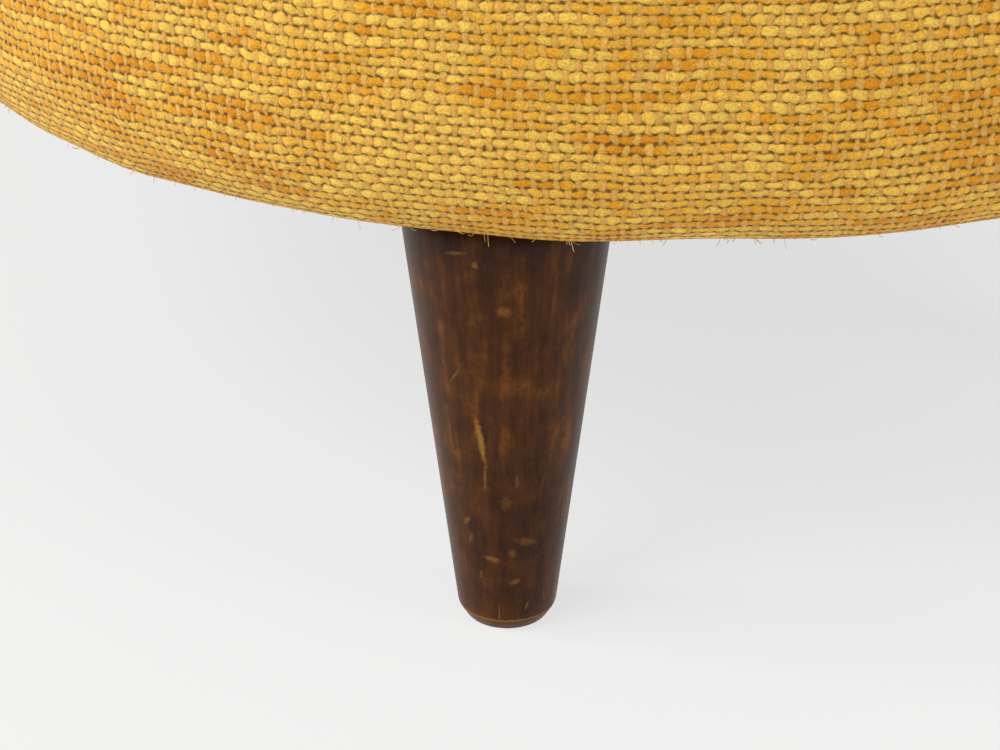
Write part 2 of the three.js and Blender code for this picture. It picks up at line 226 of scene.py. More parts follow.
def held_back(distance: np.ndarray, room: float) -> np.ndarray:
    """Distances eased so that they end before room, as a soft form flattens against a wall."""
    start = 0.35 * room
    beyond = np.maximum(distance - start, 0) / (room - start)
    return np.minimum(distance, start) + (room - start) * np.tanh(beyond)


# ---- The sofa's plan -----------------------------------------------------------------------------


@dataclass(frozen=True)
class Crescent:
    """The plan: two end circles joined by a concave front arc and a convex rear arc.

    A run is a length along the widest outline, from the rear's centre towards +X and all round.
    """

    width: float = 2.100
    end_radius: float = 0.260
    front_radius: float = 1.640
    rear_radius: float = 1.440
    end_y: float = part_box("base_cover")[0][1] + 0.260

    @property
    def end_x(self) -> float:
        """How far out the end circles' centres are."""
        return self.width / 2 - self.end_radius

    @property
    def front_y(self) -> float:
        """The front arc's centre."""
        return self.end_y - math.sqrt((self.front_radius + self.end_radius) ** 2 - self.end_x**2)

    @property
    def rear_y(self) -> float:
        """The rear arc's centre."""
        return self.end_y - math.sqrt((self.rear_radius - self.end_radius) ** 2 - self.end_x**2)

    @property
    def front_half(self) -> float:
        """Half the front arc's angle."""
        return math.atan2(self.end_x, self.end_y - self.front_y)

    @property
    def rear_half(self) -> float:
        """Half the rear arc's angle."""
        return math.atan2(self.end_x, self.end_y - self.rear_y)

    @property
    def rear_run(self) -> float:
        """The run at which the rear arc meets the end circle."""
        return self.rear_radius * self.rear_half

    @property
    def front_run(self) -> float:
        """The run at which the end circle meets the front arc."""
        return self.rear_run + self.end_radius * (math.pi - self.rear_half + self.front_half)

    @property
    def half_run(self) -> float:
        """The run at the front's centre."""
        return self.front_run + self.front_radius * self.front_half

    def point(self, run: float, inset: float = 0.0) -> tuple[float, float]:
        """The place at a run, moved in by inset."""
        side = 1.0
        run %= 2 * self.half_run
        if run > self.half_run:
            side, run = -1.0, 2 * self.half_run - run
        if run <= self.rear_run:
            centre, radius, angle = (0.0, self.rear_y), self.rear_radius - inset, run / self.rear_radius
        elif run <= self.front_run:
            centre, radius = (self.end_x, self.end_y), self.end_radius - inset
            angle = self.rear_half + (run - self.rear_run) / self.end_radius
        else:
            centre, radius = (0.0, self.front_y), self.front_radius + inset
            angle = (self.half_run - run) / self.front_radius
        return side * (centre[0] + radius * math.sin(angle)), centre[1] + radius * math.cos(angle)

    def unroll(self, places: np.ndarray) -> tuple[np.ndarray, np.ndarray]:
        """The run and the inset of each (x, y) row of places."""
        x, y = np.abs(places[:, 0]), places[:, 1]
        rear_angle = np.arctan2(x, y - self.rear_y)
        front_angle = np.arctan2(x, y - self.front_y)
        end_angle = np.arctan2(x - self.end_x, y - self.end_y) % (2 * math.pi)
        rear = self.rear_radius - np.hypot(x, y - self.rear_y)
        front = np.hypot(x, y - self.front_y) - self.front_radius
        end = self.end_radius - np.hypot(x - self.end_x, y - self.end_y)
        rear_ok = rear_angle <= self.rear_half
        front_ok = front_angle <= self.front_half
        on_rear = rear_ok & ((rear < front) | ~front_ok)
        on_front = front_ok & ~on_rear
        run = np.where(
            on_rear,
            self.rear_radius * rear_angle,
            np.where(
                on_front,
                self.half_run - self.front_radius * front_angle,
                self.rear_run + self.end_radius * (end_angle - self.rear_half),
            ),
        )
        inset = np.where(on_rear, rear, np.where(on_front, front, end))
        return np.where(places[:, 0] < 0, 2 * self.half_run - run, run), inset

    def rear_polar(self, places: np.ndarray) -> tuple[np.ndarray, np.ndarray]:
        """The angle from straight back and the radius of each place, about the rear centre."""
        x, y = places[:, 0], places[:, 1] - self.rear_y
        return np.arctan2(x, y), np.hypot(x, y)


PLAN = Crescent()


# ---- Materials -----------------------------------------------------------------------------------


def linear(tone: str, alpha: float = 1.0) -> tuple[float, float, float, float]:
    """The linear colour of an sRGB tone such as "#c8a050"."""
    channels = (int(tone[i : i + 2], 16) / 255 for i in (1, 3, 5))
    red, green, blue = (c / 12.92 if c <= 0.04045 else ((c + 0.055) / 1.055) ** 2.4 for c in channels)
    return red, green, blue, alpha


class Wire:
    """One number in a material's nodes. Arithmetic on it adds Math nodes."""

    def __init__(self, tree: bpy.types.NodeTree, socket: bpy.types.NodeSocket) -> None:
        """Holds the socket that the number comes out of."""
        self.tree = tree
        self.socket = socket

    def math(self, operation: str, *others: "Wire | float", clamp: bool = False) -> "Wire":
        """The result of a Math node that has this number as its first input."""
        node = self.tree.nodes.new("ShaderNodeMath")
        node.operation = operation
        node.use_clamp = clamp
        for socket, value in zip(node.inputs, (self, *others)):
            if isinstance(value, Wire):
                self.tree.links.new(value.socket, socket)
            else:
                socket.default_value = value
        return Wire(self.tree, node.outputs[0])

    def __add__(self, other: "Wire | float") -> "Wire":
        """The sum."""
        return self.math("ADD", other)

    def __sub__(self, other: "Wire | float") -> "Wire":
        """The difference."""
        return self.math("SUBTRACT", other)

    def __mul__(self, other: "Wire | float") -> "Wire":
        """The product."""
        return self.math("MULTIPLY", other)

    def floor(self) -> "Wire":
        """The whole number at or below."""
        return self.math("FLOOR")

    def cosine(self) -> "Wire":
        """The cosine, of radians."""
        return self.math("COSINE")

    def squared(self) -> "Wire":
        """The square."""
        return self.math("MULTIPLY", self)

    def root(self) -> "Wire":
        """The square root, and 0 for what is below 0."""
        return self.math("MAXIMUM", 0.0).math("SQRT")

    def larger(self, other: "Wire | float") -> "Wire":
        """The larger of the two."""
        return self.math("MAXIMUM", other)

    def smaller(self, other: "Wire | float") -> "Wire":
        """The smaller of the two."""
        return self.math("MINIMUM", other)

    def kept(self) -> "Wire":
        """The number kept between 0 and 1."""
        return self.math("ADD", 0.0, clamp=True)

    def flipped(self) -> "Wire":
        """One less the number."""
        return self.math("MULTIPLY_ADD", -1.0, 1.0)

    def alternating(self) -> "Wire":
        """1 for an even whole number and -1 for an odd one."""
        return self.math("MULTIPLY", 0.5).math("FRACT").math("MULTIPLY_ADD", -4.0, 1.0)

    def step(self, low: float, high: float) -> "Wire":
        """0 at low, 1 at high, and an even ease between them."""
        node = self.tree.nodes.new("ShaderNodeMapRange")
        node.interpolation_type = "SMOOTHSTEP"
        self.tree.links.new(self.socket, node.inputs["Value"])
        node.inputs["From Min"].default_value = low
        node.inputs["From Max"].default_value = high
        return Wire(self.tree, node.outputs["Result"])


Colour = bpy.types.NodeSocket


class Recipe:
    """One material, its nodes, and its Principled shader."""

    def __init__(self, name: str) -> None:
        """Starts a new material."""
        self.material = bpy.data.materials.new(name)
        self.material.use_nodes = True
        self.tree = self.material.node_tree
        self.shader = self.tree.nodes["Principled BSDF"]

    def node(self, kind: str) -> bpy.types.Node:
        """Adds a node."""
        return self.tree.nodes.new(kind)

    def link(self, source: "Wire | Colour", target: bpy.types.NodeSocket) -> None:
        """Joins a result to an input."""
        self.tree.links.new(source.socket if isinstance(source, Wire) else source, target)

    def set(self, **values: float | tuple[float, ...]) -> None:
        """Sets inputs of the shader that are the same all over, named with _ for a space."""
        for name, value in values.items():
            words = (word if word.isupper() else word.capitalize() for word in name.split("_"))
            self.shader.inputs[" ".join(words)].default_value = value

    def vector(self, x: "Wire | float", y: "Wire | float", z: "Wire | float" = 0.0) -> Colour:
        """Puts three numbers together."""
        node = self.node("ShaderNodeCombineXYZ")
        for socket, value in zip(node.inputs, (x, y, z)):
            if isinstance(value, Wire):
                self.link(value, socket)
            else:
                socket.default_value = value
        return node.outputs[0]

    def parts(self, vector: Colour) -> tuple[Wire, Wire, Wire]:
        """The three numbers of a vector."""
        node = self.node("ShaderNodeSeparateXYZ")
        self.link(vector, node.inputs[0])
        x, y, z = (Wire(self.tree, socket) for socket in node.outputs)
        return x, y, z

    def surface(self) -> tuple[Wire, Wire]:
        """The place on the cloth, in metres along its two yarns, from the piece's own map."""
        node = self.node("ShaderNodeUVMap")
        node.uv_map = WEAVE_MAP
        u, v, _ = self.parts(node.outputs["UV"])
        return u, v

    def place(self, centre: Sequence[float] = (0, 0, 0), turn: float = 0.0) -> Colour:
        """The place in the piece's object coordinates, about centre and turned back by turn."""
        coordinates, mapping = self.node("ShaderNodeTexCoord"), self.node("ShaderNodeMapping")
        mapping.vector_type = "TEXTURE"
        mapping.inputs["Location"].default_value = centre
        mapping.inputs["Rotation"].default_value = (0, 0, turn)
        self.link(coordinates.outputs["Object"], mapping.inputs["Vector"])
        return mapping.outputs["Vector"]

    def noise(self, vector: Colour, scale: float, detail: float = 2.0, rough: float = 0.5) -> bpy.types.Node:
        """Adds a noise pattern, which averages a half."""
        node = self.node("ShaderNodeTexNoise")
        self.link(vector, node.inputs["Vector"])
        node.inputs["Scale"].default_value = scale
        node.inputs["Detail"].default_value = detail
        node.inputs["Roughness"].default_value = rough
        return node

    def swell(self, vector: Colour, scale: float, detail: float = 2.0, rough: float = 0.5) -> Wire:
        """One number of a noise pattern, about a half."""
        return Wire(self.tree, self.noise(vector, scale, detail, rough).outputs["Fac"])

    def wander(self, vector: Colour, scale: float, reach: float) -> tuple[Wire, Wire]:
        """Two numbers that wander between minus and plus about half of reach."""
        x, y, _ = self.parts(self.noise(vector, scale, 1.0).outputs["Color"])
        return (x - 0.5) * reach, (y - 0.5) * reach

    def chance(self, vector: Colour) -> Wire:
        """A number from 0 to 1 that is different for each whole vector."""
        node = self.node("ShaderNodeTexWhiteNoise")
        self.link(vector, node.inputs["Vector"])
        return Wire(self.tree, node.outputs["Value"])

    def blend(self, factor: "Wire | float", low: "Colour | str", high: "Colour | str", mode: str = "MIX") -> Colour:
        """Blends two colours, each a result or a tone."""
        node = self.node("ShaderNodeMix")
        node.data_type = "RGBA"
        node.blend_type = mode
        colours = [s for s in node.inputs if s.type == "RGBA"]
        if isinstance(factor, Wire):
            self.link(factor, node.inputs[0])
        else:
            node.inputs[0].default_value = factor
        for socket, colour in zip(colours, (low, high)):
            if isinstance(colour, str):
                socket.default_value = linear(colour)
            else:
                self.link(colour, socket)
        return next(s for s in node.outputs if s.type == "RGBA")

    def shaded(self, colour: Colour, brightness: Wire) -> Colour:
        """A colour times a brightness."""
        node = self.node("ShaderNodeVectorMath")
        node.operation = "SCALE"
        self.link(colour, node.inputs[0])
        self.link(brightness, node.inputs["Scale"])
        return node.outputs[0]

    def finish(self, colour: "Colour | str", roughness: "Wire | float", height: Wire, relief: float) -> bpy.types.Material:
        """Joins the results to the shader.

        Args:
            colour: The base colour.
            roughness: The roughness.
            height: The height of the surface, from 0 to 1.
            relief: How high 1 is, in metres.

        Returns:
            The finished material.
        """
        if isinstance(colour, str):
            self.shader.inputs["Base Color"].default_value = linear(colour)
        else:
            self.link(colour, self.shader.inputs["Base Color"])
        if isinstance(roughness, Wire):
            self.link(roughness, self.shader.inputs["Roughness"])
        else:
            self.shader.inputs["Roughness"].default_value = roughness
        bump = self.node("ShaderNodeBump")
        bump.inputs["Distance"].default_value = relief
        self.link(height, bump.inputs["Height"])
        self.link(bump.outputs[0], self.shader.inputs["Normal"])
        return self.material


@dataclass(frozen=True)
class Tweed:
    """Chunky plain-weave tweed: a matt beige warp and a thick, pale weft with slubs of gold."""

    warp_pitch: float = 0.0030
    weft_pitch: float = 0.00285
    relief: float = 0.0016
    warp_tone: str = "#e2aa4e"
    weft_tone: str = "#f6c752"
    gold_tone: str = "#e6a222"
    slub_tone: str = "#d6870c"
    # painted shade: the near-black brown painted into the low gaps between the yarns
    painted_gap_shade_tone: str = "#5a3202"

    def material(self, name: str = "tweed") -> bpy.types.Material:
        """Builds the cloth on the piece's own weave map.

        Each cell of the map holds one crossing. The yarn on top is the one whose height, a wave
        along it and a round across it, is the larger.
        """
        r = Recipe(name)
        u, v = r.surface()
        u, v = u * (1 / self.warp_pitch), v * (1 / self.weft_pitch)
        flat = r.vector(u, v)
        slow_x, slow_y = r.wander(flat, 0.09, 1.1)
        fast_x, fast_y = r.wander(flat, 0.9, 0.75)
        u, v = u + slow_x + fast_x, v + slow_y + fast_y
        column, row = u.floor(), v.floor()
        across, along = u - column - 0.5, v - row - 0.5

        row_luck, column_luck = r.chance(r.vector(row, 3.0)), r.chance(r.vector(column, 11.0))
        plump = r.swell(r.vector(u * 0.16, row * 5.3), 1.0, 1.0)
        weft_width = row_luck * 0.14 + plump * 0.5 + 0.58
        warp_width = column_luck * 0.16 + 0.62
        weft_round = ((along * 2.0).math("DIVIDE", weft_width).squared().flipped()).root()
        warp_round = ((across * 2.0).math("DIVIDE", warp_width).squared().flipped()).root()
        weft_wave = (across * math.pi).cosine() * row.alternating() * column.alternating()
        warp_wave = (along * math.pi).cosine() * row.alternating() * column.alternating()
        weft = weft_wave * 0.30 + weft_round * 0.70 + 0.06
        warp = warp_round * 0.52 - warp_wave * 0.36
        weft_on_top = ((weft - warp) * 7.0 + 0.5).kept()
        top = weft.larger(warp)

        curls = r.swell(r.vector(u * 3.4, v * 4.6), 1.0, 2.0, 0.62)
        twist = r.swell(r.vector(u * 7.0 + v * 2.2, v * 3.2), 1.0, 1.0)
        fibres = (curls - 0.5) * 1.1 + (twist - 0.5) * 0.5
        height = top * 0.80 + fibres * 0.34

        region = r.swell(flat, 0.055, 2.0)
        run = r.swell(r.vector(u * 0.10, row * 0.9 + row_luck * 9.0), 1.0, 1.0)
        crown_luck = r.chance(r.vector(column, row, 5.0))
        golden = (run * 0.6 + region * 0.5 + crown_luck * 0.10).step(0.54, 0.68)
        slubbed = (run * 0.72 + region * 0.34 + crown_luck * 0.12).step(0.655, 0.72)
        yarn = r.blend(golden, self.weft_tone, self.gold_tone)
        yarn = r.blend(slubbed * 0.78, yarn, self.slub_tone)
        colour = r.blend(weft_on_top, self.warp_tone, yarn)
        # Partly real, partly painted: a random tone for each crossing, plus a painted highlight that brightens the
        # raised curls of fibre.
        light = (crown_luck - 0.5) * 0.18 + fibres * 1.1 + 1.06
        colour = r.shaded(colour, light)
        # Painted shade: where the yarns dip low between the crowns, the colour is darkened towards the painted shade
        # tone.
        colour = r.blend(top.step(0.08, 0.72).flipped() * 0.86, colour, self.painted_gap_shade_tone)

        r.set(specular_IOR_level=0.22, sheen_weight=0.12, sheen_roughness=0.4)
        r.shader.inputs["Sheen Tint"].default_value = linear("#ffe9bd")
        roughness = (weft_on_top * -0.14 + fibres * -0.3 + 0.80).kept()
        return r.finish(colour, roughness, height, self.relief)


@dataclass(frozen=True)
class Mark:
    """A worn mark on a leg: where it is, how it lies and how pale it is.

    Angles are in degrees round the leg from its outward side, anticlockwise seen from above, and
    lengths in millimetres.
    """

    angle: float
    height: float
    long: float
    wide: float
    lean: float = 0.0
    strength: float = 1.0


@dataclass(frozen=True)
class StainedWood:
    """Turned hardwood under a dark walnut stain, rubbed and scratched in use."""

    dark_tone: str = "#2e1604"
    mid_tone: str = "#5a3008"
    light_tone: str = "#744612"
    bare_tone: str = "#94662c"
    radius: float = 0.022
    foot_line: float = 0.0045
    top: float = 0.142

    def material(self, name: str, centre: Sequence[float], turn: float, marks: Sequence[Mark]) -> bpy.types.Material:
        """Builds the stain for one leg.

        Args:
            name: The material's name.
            centre: The leg's foot.
            turn: The bearing of the leg's outward side, in radians from +X.
            marks: The leg's own marks.
        """
        r = Recipe(name)
        spot = r.place((centre[0], centre[1], 0.0), turn)
        x, y, z = r.parts(spot)
        grain_place = r.vector(x * 260.0, y * 260.0, z * 13.0)
        grain = r.swell(grain_place, 1.0, 5.0, 0.6)
        pores = r.swell(r.vector(x * 1500.0, y * 1500.0, z * 120.0), 1.0, 2.0, 0.7)
        mottle = r.swell(spot, 95.0, 4.0, 0.65)
        lathe = r.swell(r.vector(x * 8.0, y * 8.0, z * 1300.0), 1.0, 1.0)
        tone = (grain * 0.55 + mottle * 0.55 + pores * 0.16 - 0.13).step(0.30, 0.72)
        colour = r.blend(tone, self.dark_tone, self.mid_tone)
        colour = r.blend((mottle * 0.5 + grain * 0.5).step(0.52, 0.68) * 0.6, colour, self.light_tone)
        colour = r.blend(pores.step(0.60, 0.74) * 0.55, colour, self.dark_tone)
        # Painted shade: the top of the leg, just under the base, is darkened towards near black.
        painted_top_shade = z.step(self.top - 0.022, self.top)
        colour = r.blend(painted_top_shade * 0.55, colour, "#120905")

        ragged = r.swell(spot, 900.0, 3.0, 0.7)
        around = y.math("ARCTAN2", x) * self.radius
        bare: Wire | None = None
        for mark in marks:
            lean = math.radians(mark.lean)
            dx = around - math.radians(mark.angle) * self.radius
            dz = z - mark.height / 1000
            longways = (dz * math.cos(lean) + dx * math.sin(lean)) * (1000 / mark.long)
            sideways = (dx * math.cos(lean) - dz * math.sin(lean)) * (1000 / mark.wide)
            far = (longways.squared() + sideways.squared()).root() + (ragged - 0.5) * 1.5
            spot_on = far.step(0.25, 1.15).flipped() * (mark.strength * 0.62)
            bare = spot_on if bare is None else bare.larger(spot_on)
        edge = (z - self.foot_line).math("ABSOLUTE") * 1400.0 + (ragged - 0.5) * 1.6
        rubbed = edge.step(0.1, 0.9).flipped() * 0.75
        scuffs = (mottle * 0.4 + ragged * 0.75).step(0.70, 0.80) * 0.28
        bare = rubbed.larger(scuffs) if bare is None else bare.larger(rubbed).larger(scuffs)
        colour = r.blend(bare, colour, self.bare_tone)

        r.set(specular_IOR_level=0.12, coat_weight=0.03, coat_roughness=0.22)
        height = (pores.step(0.55, 0.75) * -0.35 + grain * 0.25 + lathe * 0.10 - bare * 0.6) + 1.0
        roughness = (bare * 0.25 + mottle * 0.22 + 0.26).kept()
        return r.finish(colour, roughness, height, 0.00022)


@dataclass(frozen=True)
class SawnWood:
    """Raw softwood of the hidden frame, with its grain along one way of the object."""

    pale_tone: str = "#cfae7d"
    dark_tone: str = "#a67c48"
    along: tuple[float, float, float] = (3.0, 60.0, 60.0)
    ply_layers: float = 0.0

    def material(self, name: str) -> bpy.types.Material:
        """Builds the wood."""
        r = Recipe(name)
        x, y, z = r.parts(r.place())
        grain = r.swell(r.vector(x * self.along[0], y * self.along[1], z * self.along[2]), 1.0, 5.0, 0.6)
        saw = r.swell(r.vector(x * 400.0, y * 400.0, z * 30.0), 1.0, 2.0)
        tone = (grain * 1.2 - 0.1 + (saw - 0.5) * 0.25).kept()
        colour = r.blend(tone, self.dark_tone, self.pale_tone)
        if self.ply_layers:
            layer = (z * (math.pi / self.ply_layers)).cosine().step(0.55, 0.9)
            colour = r.blend(layer * 0.45, colour, self.dark_tone)
        return r.finish(colour, 0.72, saw * 0.5 + grain * 0.5, 0.0003)


class Sheeting(Enum):
    """The hidden cloths and pads: tone, shadow tone, threads a metre, roughness and relief."""

    HESSIAN = ("#b08f5c", "#6d5128", 560.0, 0.95, 0.0006)
    COTTON_FELT = ("#ddd5c4", "#b9ad96", 0.0, 1.0, 0.0012)
    CAMBRIC = ("#262522", "#0e0e0d", 900.0, 0.9, 0.0002)
    WEBBING = ("#6a5540", "#2e2218", 420.0, 0.8, 0.0005)
    FOAM = ("#e8d99e", "#c4b070", 0.0, 0.95, 0.0008)

    def material(self) -> bpy.types.Material:
        """Builds the sheeting, woven if it has threads and felted or open-celled if not."""
        tone, shadow, threads, roughness, relief = self.value
        r = Recipe(self.name.lower())
        spot = r.place()
        x, y, z = r.parts(spot)
        fluff = r.swell(spot, 420.0, 3.0, 0.65)
        if threads:
            wave_x = (x * (threads * math.pi)).math("SINE").squared()
            wave_y = ((y + z) * (threads * math.pi)).math("SINE").squared()
            height = wave_x * wave_y * 0.8 + fluff * 0.3
        else:
            height = fluff.step(0.3, 0.7)
        colour = r.blend(height.step(0.1, 0.7), shadow, tone)
        return r.finish(colour, roughness, height, relief)


@dataclass(frozen=True)
class ZincPlate:
    """Bright zinc on the bolts and nuts."""

    tone: str = "#b9bcc0"

    def material(self) -> bpy.types.Material:
        """Builds the plating, with faint spangle and fine turning lines."""
        r = Recipe("zinc_steel")
        spot = r.place()
        _, _, z = r.parts(spot)
        spangle = r.swell(spot, 800.0, 2.0)
        thread = (z * (2 * math.pi / 0.00125)).math("SINE")
        colour = r.blend(spangle.step(0.35, 0.65), "#8f9499", self.tone)
        r.set(metallic=1.0)
        return r.finish(colour, (spangle * 0.3 + 0.25).kept(), thread * 0.5 + 0.5, 0.0003)


@dataclass(frozen=True)
class LooseFibre:
    """The loose ends of the cloth's yarns."""

    tone: str = "#efc777"

    def material(self) -> bpy.types.Material:
        """Builds the fibres' finish, paler and deeper from one to the next."""
        r = Recipe("loose_fibre")
        luck = r.swell(r.place(), 300.0, 1.0)
        colour = r.blend(luck.step(0.4, 0.6), "#d99c34", self.tone)
        r.set(sheen_weight=0.3)
        return r.finish(colour, 0.8, luck, 0.0001)


# ---- Stuffed forms -------------------------------------------------------------------------------


class Outline:
    """A closed outline in plan, with a running length for the cloth that goes round it."""

    def __init__(self, points: Sequence[tuple[float, float]]) -> None:
        """Holds the points in anticlockwise order.

        Args:
            points: The outline's points, in either order.
        """
        ring = np.array(points, dtype=float)
        following = np.roll(ring, -1, axis=0)
        if np.sum(ring[:, 0] * following[:, 1] - following[:, 0] * ring[:, 1]) < 0:
            ring = ring[::-1]
        self.points = ring
        self.steps = np.roll(ring, -1, axis=0) - ring
        self.lengths = np.hypot(*self.steps.T)
        self.runs = np.concatenate([[0.0], np.cumsum(self.lengths)])

    def run_of(self, places: np.ndarray) -> np.ndarray:
        """How far round the outline the nearest point to each place is."""
        offsets = places[:, None, :] - self.points[None]
        along = np.clip(np.einsum("ijk,jk->ij", offsets, self.steps) / self.lengths**2, 0, 1)
        gaps = np.linalg.norm(offsets - along[..., None] * self.steps, axis=2)
        nearest = np.argmin(gaps, axis=1)
        rows = np.arange(len(places))
        return self.runs[nearest] + along[rows, nearest] * self.lengths[nearest]


@dataclass
class Stuffing:
    """How a stitched form is filled and how its seams are drawn in."""

    spacing: float = 0.011
    pressure: float = 4.0
    frames: int = 20
    reach: float = 0.024
    seam_depth: float = 0.0026
    crease_height: float = 0.0007
    fill: float = 0.8

    def stitch(self, name: str, outline: Outline, low: float, high: float, grain_turn: float, offset: float) -> bpy.types.Object:
        """Makes the flat form: two panels and the strip between them, all in small squares.

        Args:
            name: The piece's name.
            outline: The panels' outline.
            low: The lower seam's height.
            high: The upper seam's height.
            grain_turn: How far the panels' weave is turned from +X, in radians.
            offset: Where on the cloth the piece was cut, in metres.

        Returns:
            The form, with its weave map and its seams in a vertex group.
        """
        form = prism(name, outline.points, low, high)
        (left, front), (right, rear) = outline.points.min(axis=0), outline.points.max(axis=0)
        start_edit(form)
        slice_at(even_places(left, right, self.spacing), axis=0)
        slice_at(even_places(front, rear, self.spacing), axis=1)
        slice_at(even_places(low, high, self.spacing), axis=2)
        bpy.ops.mesh.select_all(action="SELECT")
        bpy.ops.mesh.remove_doubles(threshold=self.spacing * 0.28)
        bpy.ops.mesh.normals_make_consistent(inside=False)
        end_edit()
        self._map_weave(form, outline, grain_turn, offset)
        self._mark_seams(form)
        return form

    @staticmethod
    def _map_weave(form: bpy.types.Object, outline: Outline, grain_turn: float, offset: float) -> None:
        """Lays the weave straight on the panels and round the strip."""
        mesh, points = form.data, points_of(form)
        runs = outline.run_of(points[:, :2])
        total = outline.runs[-1]
        cosine, sine = math.cos(grain_turn), math.sin(grain_turn)
        weave = mesh.uv_layers.new(name=WEAVE_MAP)
        for face in mesh.polygons:
            strip = abs(face.normal.z) < 0.5
            corners = mesh.loops[face.loop_start : face.loop_start + face.loop_total]
            indices = [loop.vertex_index for loop in corners]
            face_runs = runs[indices]
            if strip and np.ptp(face_runs) > total / 2:
                face_runs = np.where(face_runs < total / 2, face_runs + total, face_runs)
            for loop, run, (x, y, z) in zip(corners, face_runs, points[indices]):
                place = (run, z) if strip else (x * cosine + y * sine, y * cosine - x * sine + 2 * z)
                weave.data[loop.index].uv = (place[0] + offset, place[1] + offset)

    @staticmethod
    def _mark_seams(form: bpy.types.Object) -> None:
        """Groups the vertices where a panel meets the strip."""
        mesh = form.data
        kinds: dict[int, set[int]] = {}
        for face in mesh.polygons:
            kind = 0 if abs(face.normal.z) < 0.5 else int(math.copysign(1, face.normal.z))
            for index in face.vertices:
                kinds.setdefault(index, set()).add(kind)
        group = form.vertex_groups.new(name=SEAM_GROUP)
        group.add([index for index, kind in kinds.items() if len(kind) > 1], 1.0, "REPLACE")

    def inflate(self, form: bpy.types.Object) -> None:
        """Fills the form by cloth simulation, and keeps each point within reach of its start."""
        start = points_of(form)
        scene = bpy.context.scene
        select_only(form)
        bpy.ops.object.modifier_add(type="CLOTH")
        cloth = form.modifiers[-1]
        settings = cloth.settings
        settings.quality = 5
        settings.mass = 0.3
        settings.tension_stiffness = settings.compression_stiffness = 15
        settings.shear_stiffness = 5
        settings.bending_stiffness = 0.5
        settings.use_pressure = True
        settings.uniform_pressure_force = self.pressure
        settings.effector_weights.gravity = 0
        cloth.point_cache.frame_start = 1
        cloth.point_cache.frame_end = self.frames
        for number in range(1, self.frames + 1):
            scene.frame_set(number)
        bpy.ops.object.modifier_apply(modifier=cloth.name)
        scene.frame_set(1)
        moved = points_of(form) - start
        length = np.linalg.norm(moved, axis=1, keepdims=True)
        kept = self.reach * np.tanh(length / self.reach)
        place_points(form, start + moved * np.where(length > 1e-9, kept / np.maximum(length, 1e-9), 1))

    def draw_seams(self, form: bpy.types.Object, seed: int) -> None:
        """Refines the form, draws its seams in, and puckers the cloth beside them."""
        apply_subdivision(form, 1)
        mesh, points, normals = form.data, points_of(form), normals_of(form)
        group = form.vertex_groups[SEAM_GROUP].index
        near = np.array([next((g.weight for g in v.groups if g.group == group), 0.0) for v in mesh.vertices])
        pucker = steady_noise(points, 0.022, seed) * 0.5 + 0.5
        swell = steady_noise(points, 0.17, seed + 1) * 0.0011 + steady_noise(points, 0.06, seed + 2) * 0.0004
        beside = smooth_step(0.1, 0.5, near) * (1 - smooth_step(0.6, 1.0, near))
        sunk = near**2 * self.seam_depth * (0.8 + 0.3 * pucker) - beside * self.crease_height * pucker
        place_points(form, points + normals * (swell - sunk)[:, None])
        shade_smooth(form)


# ---- The base ------------------------------------------------------------------------------------


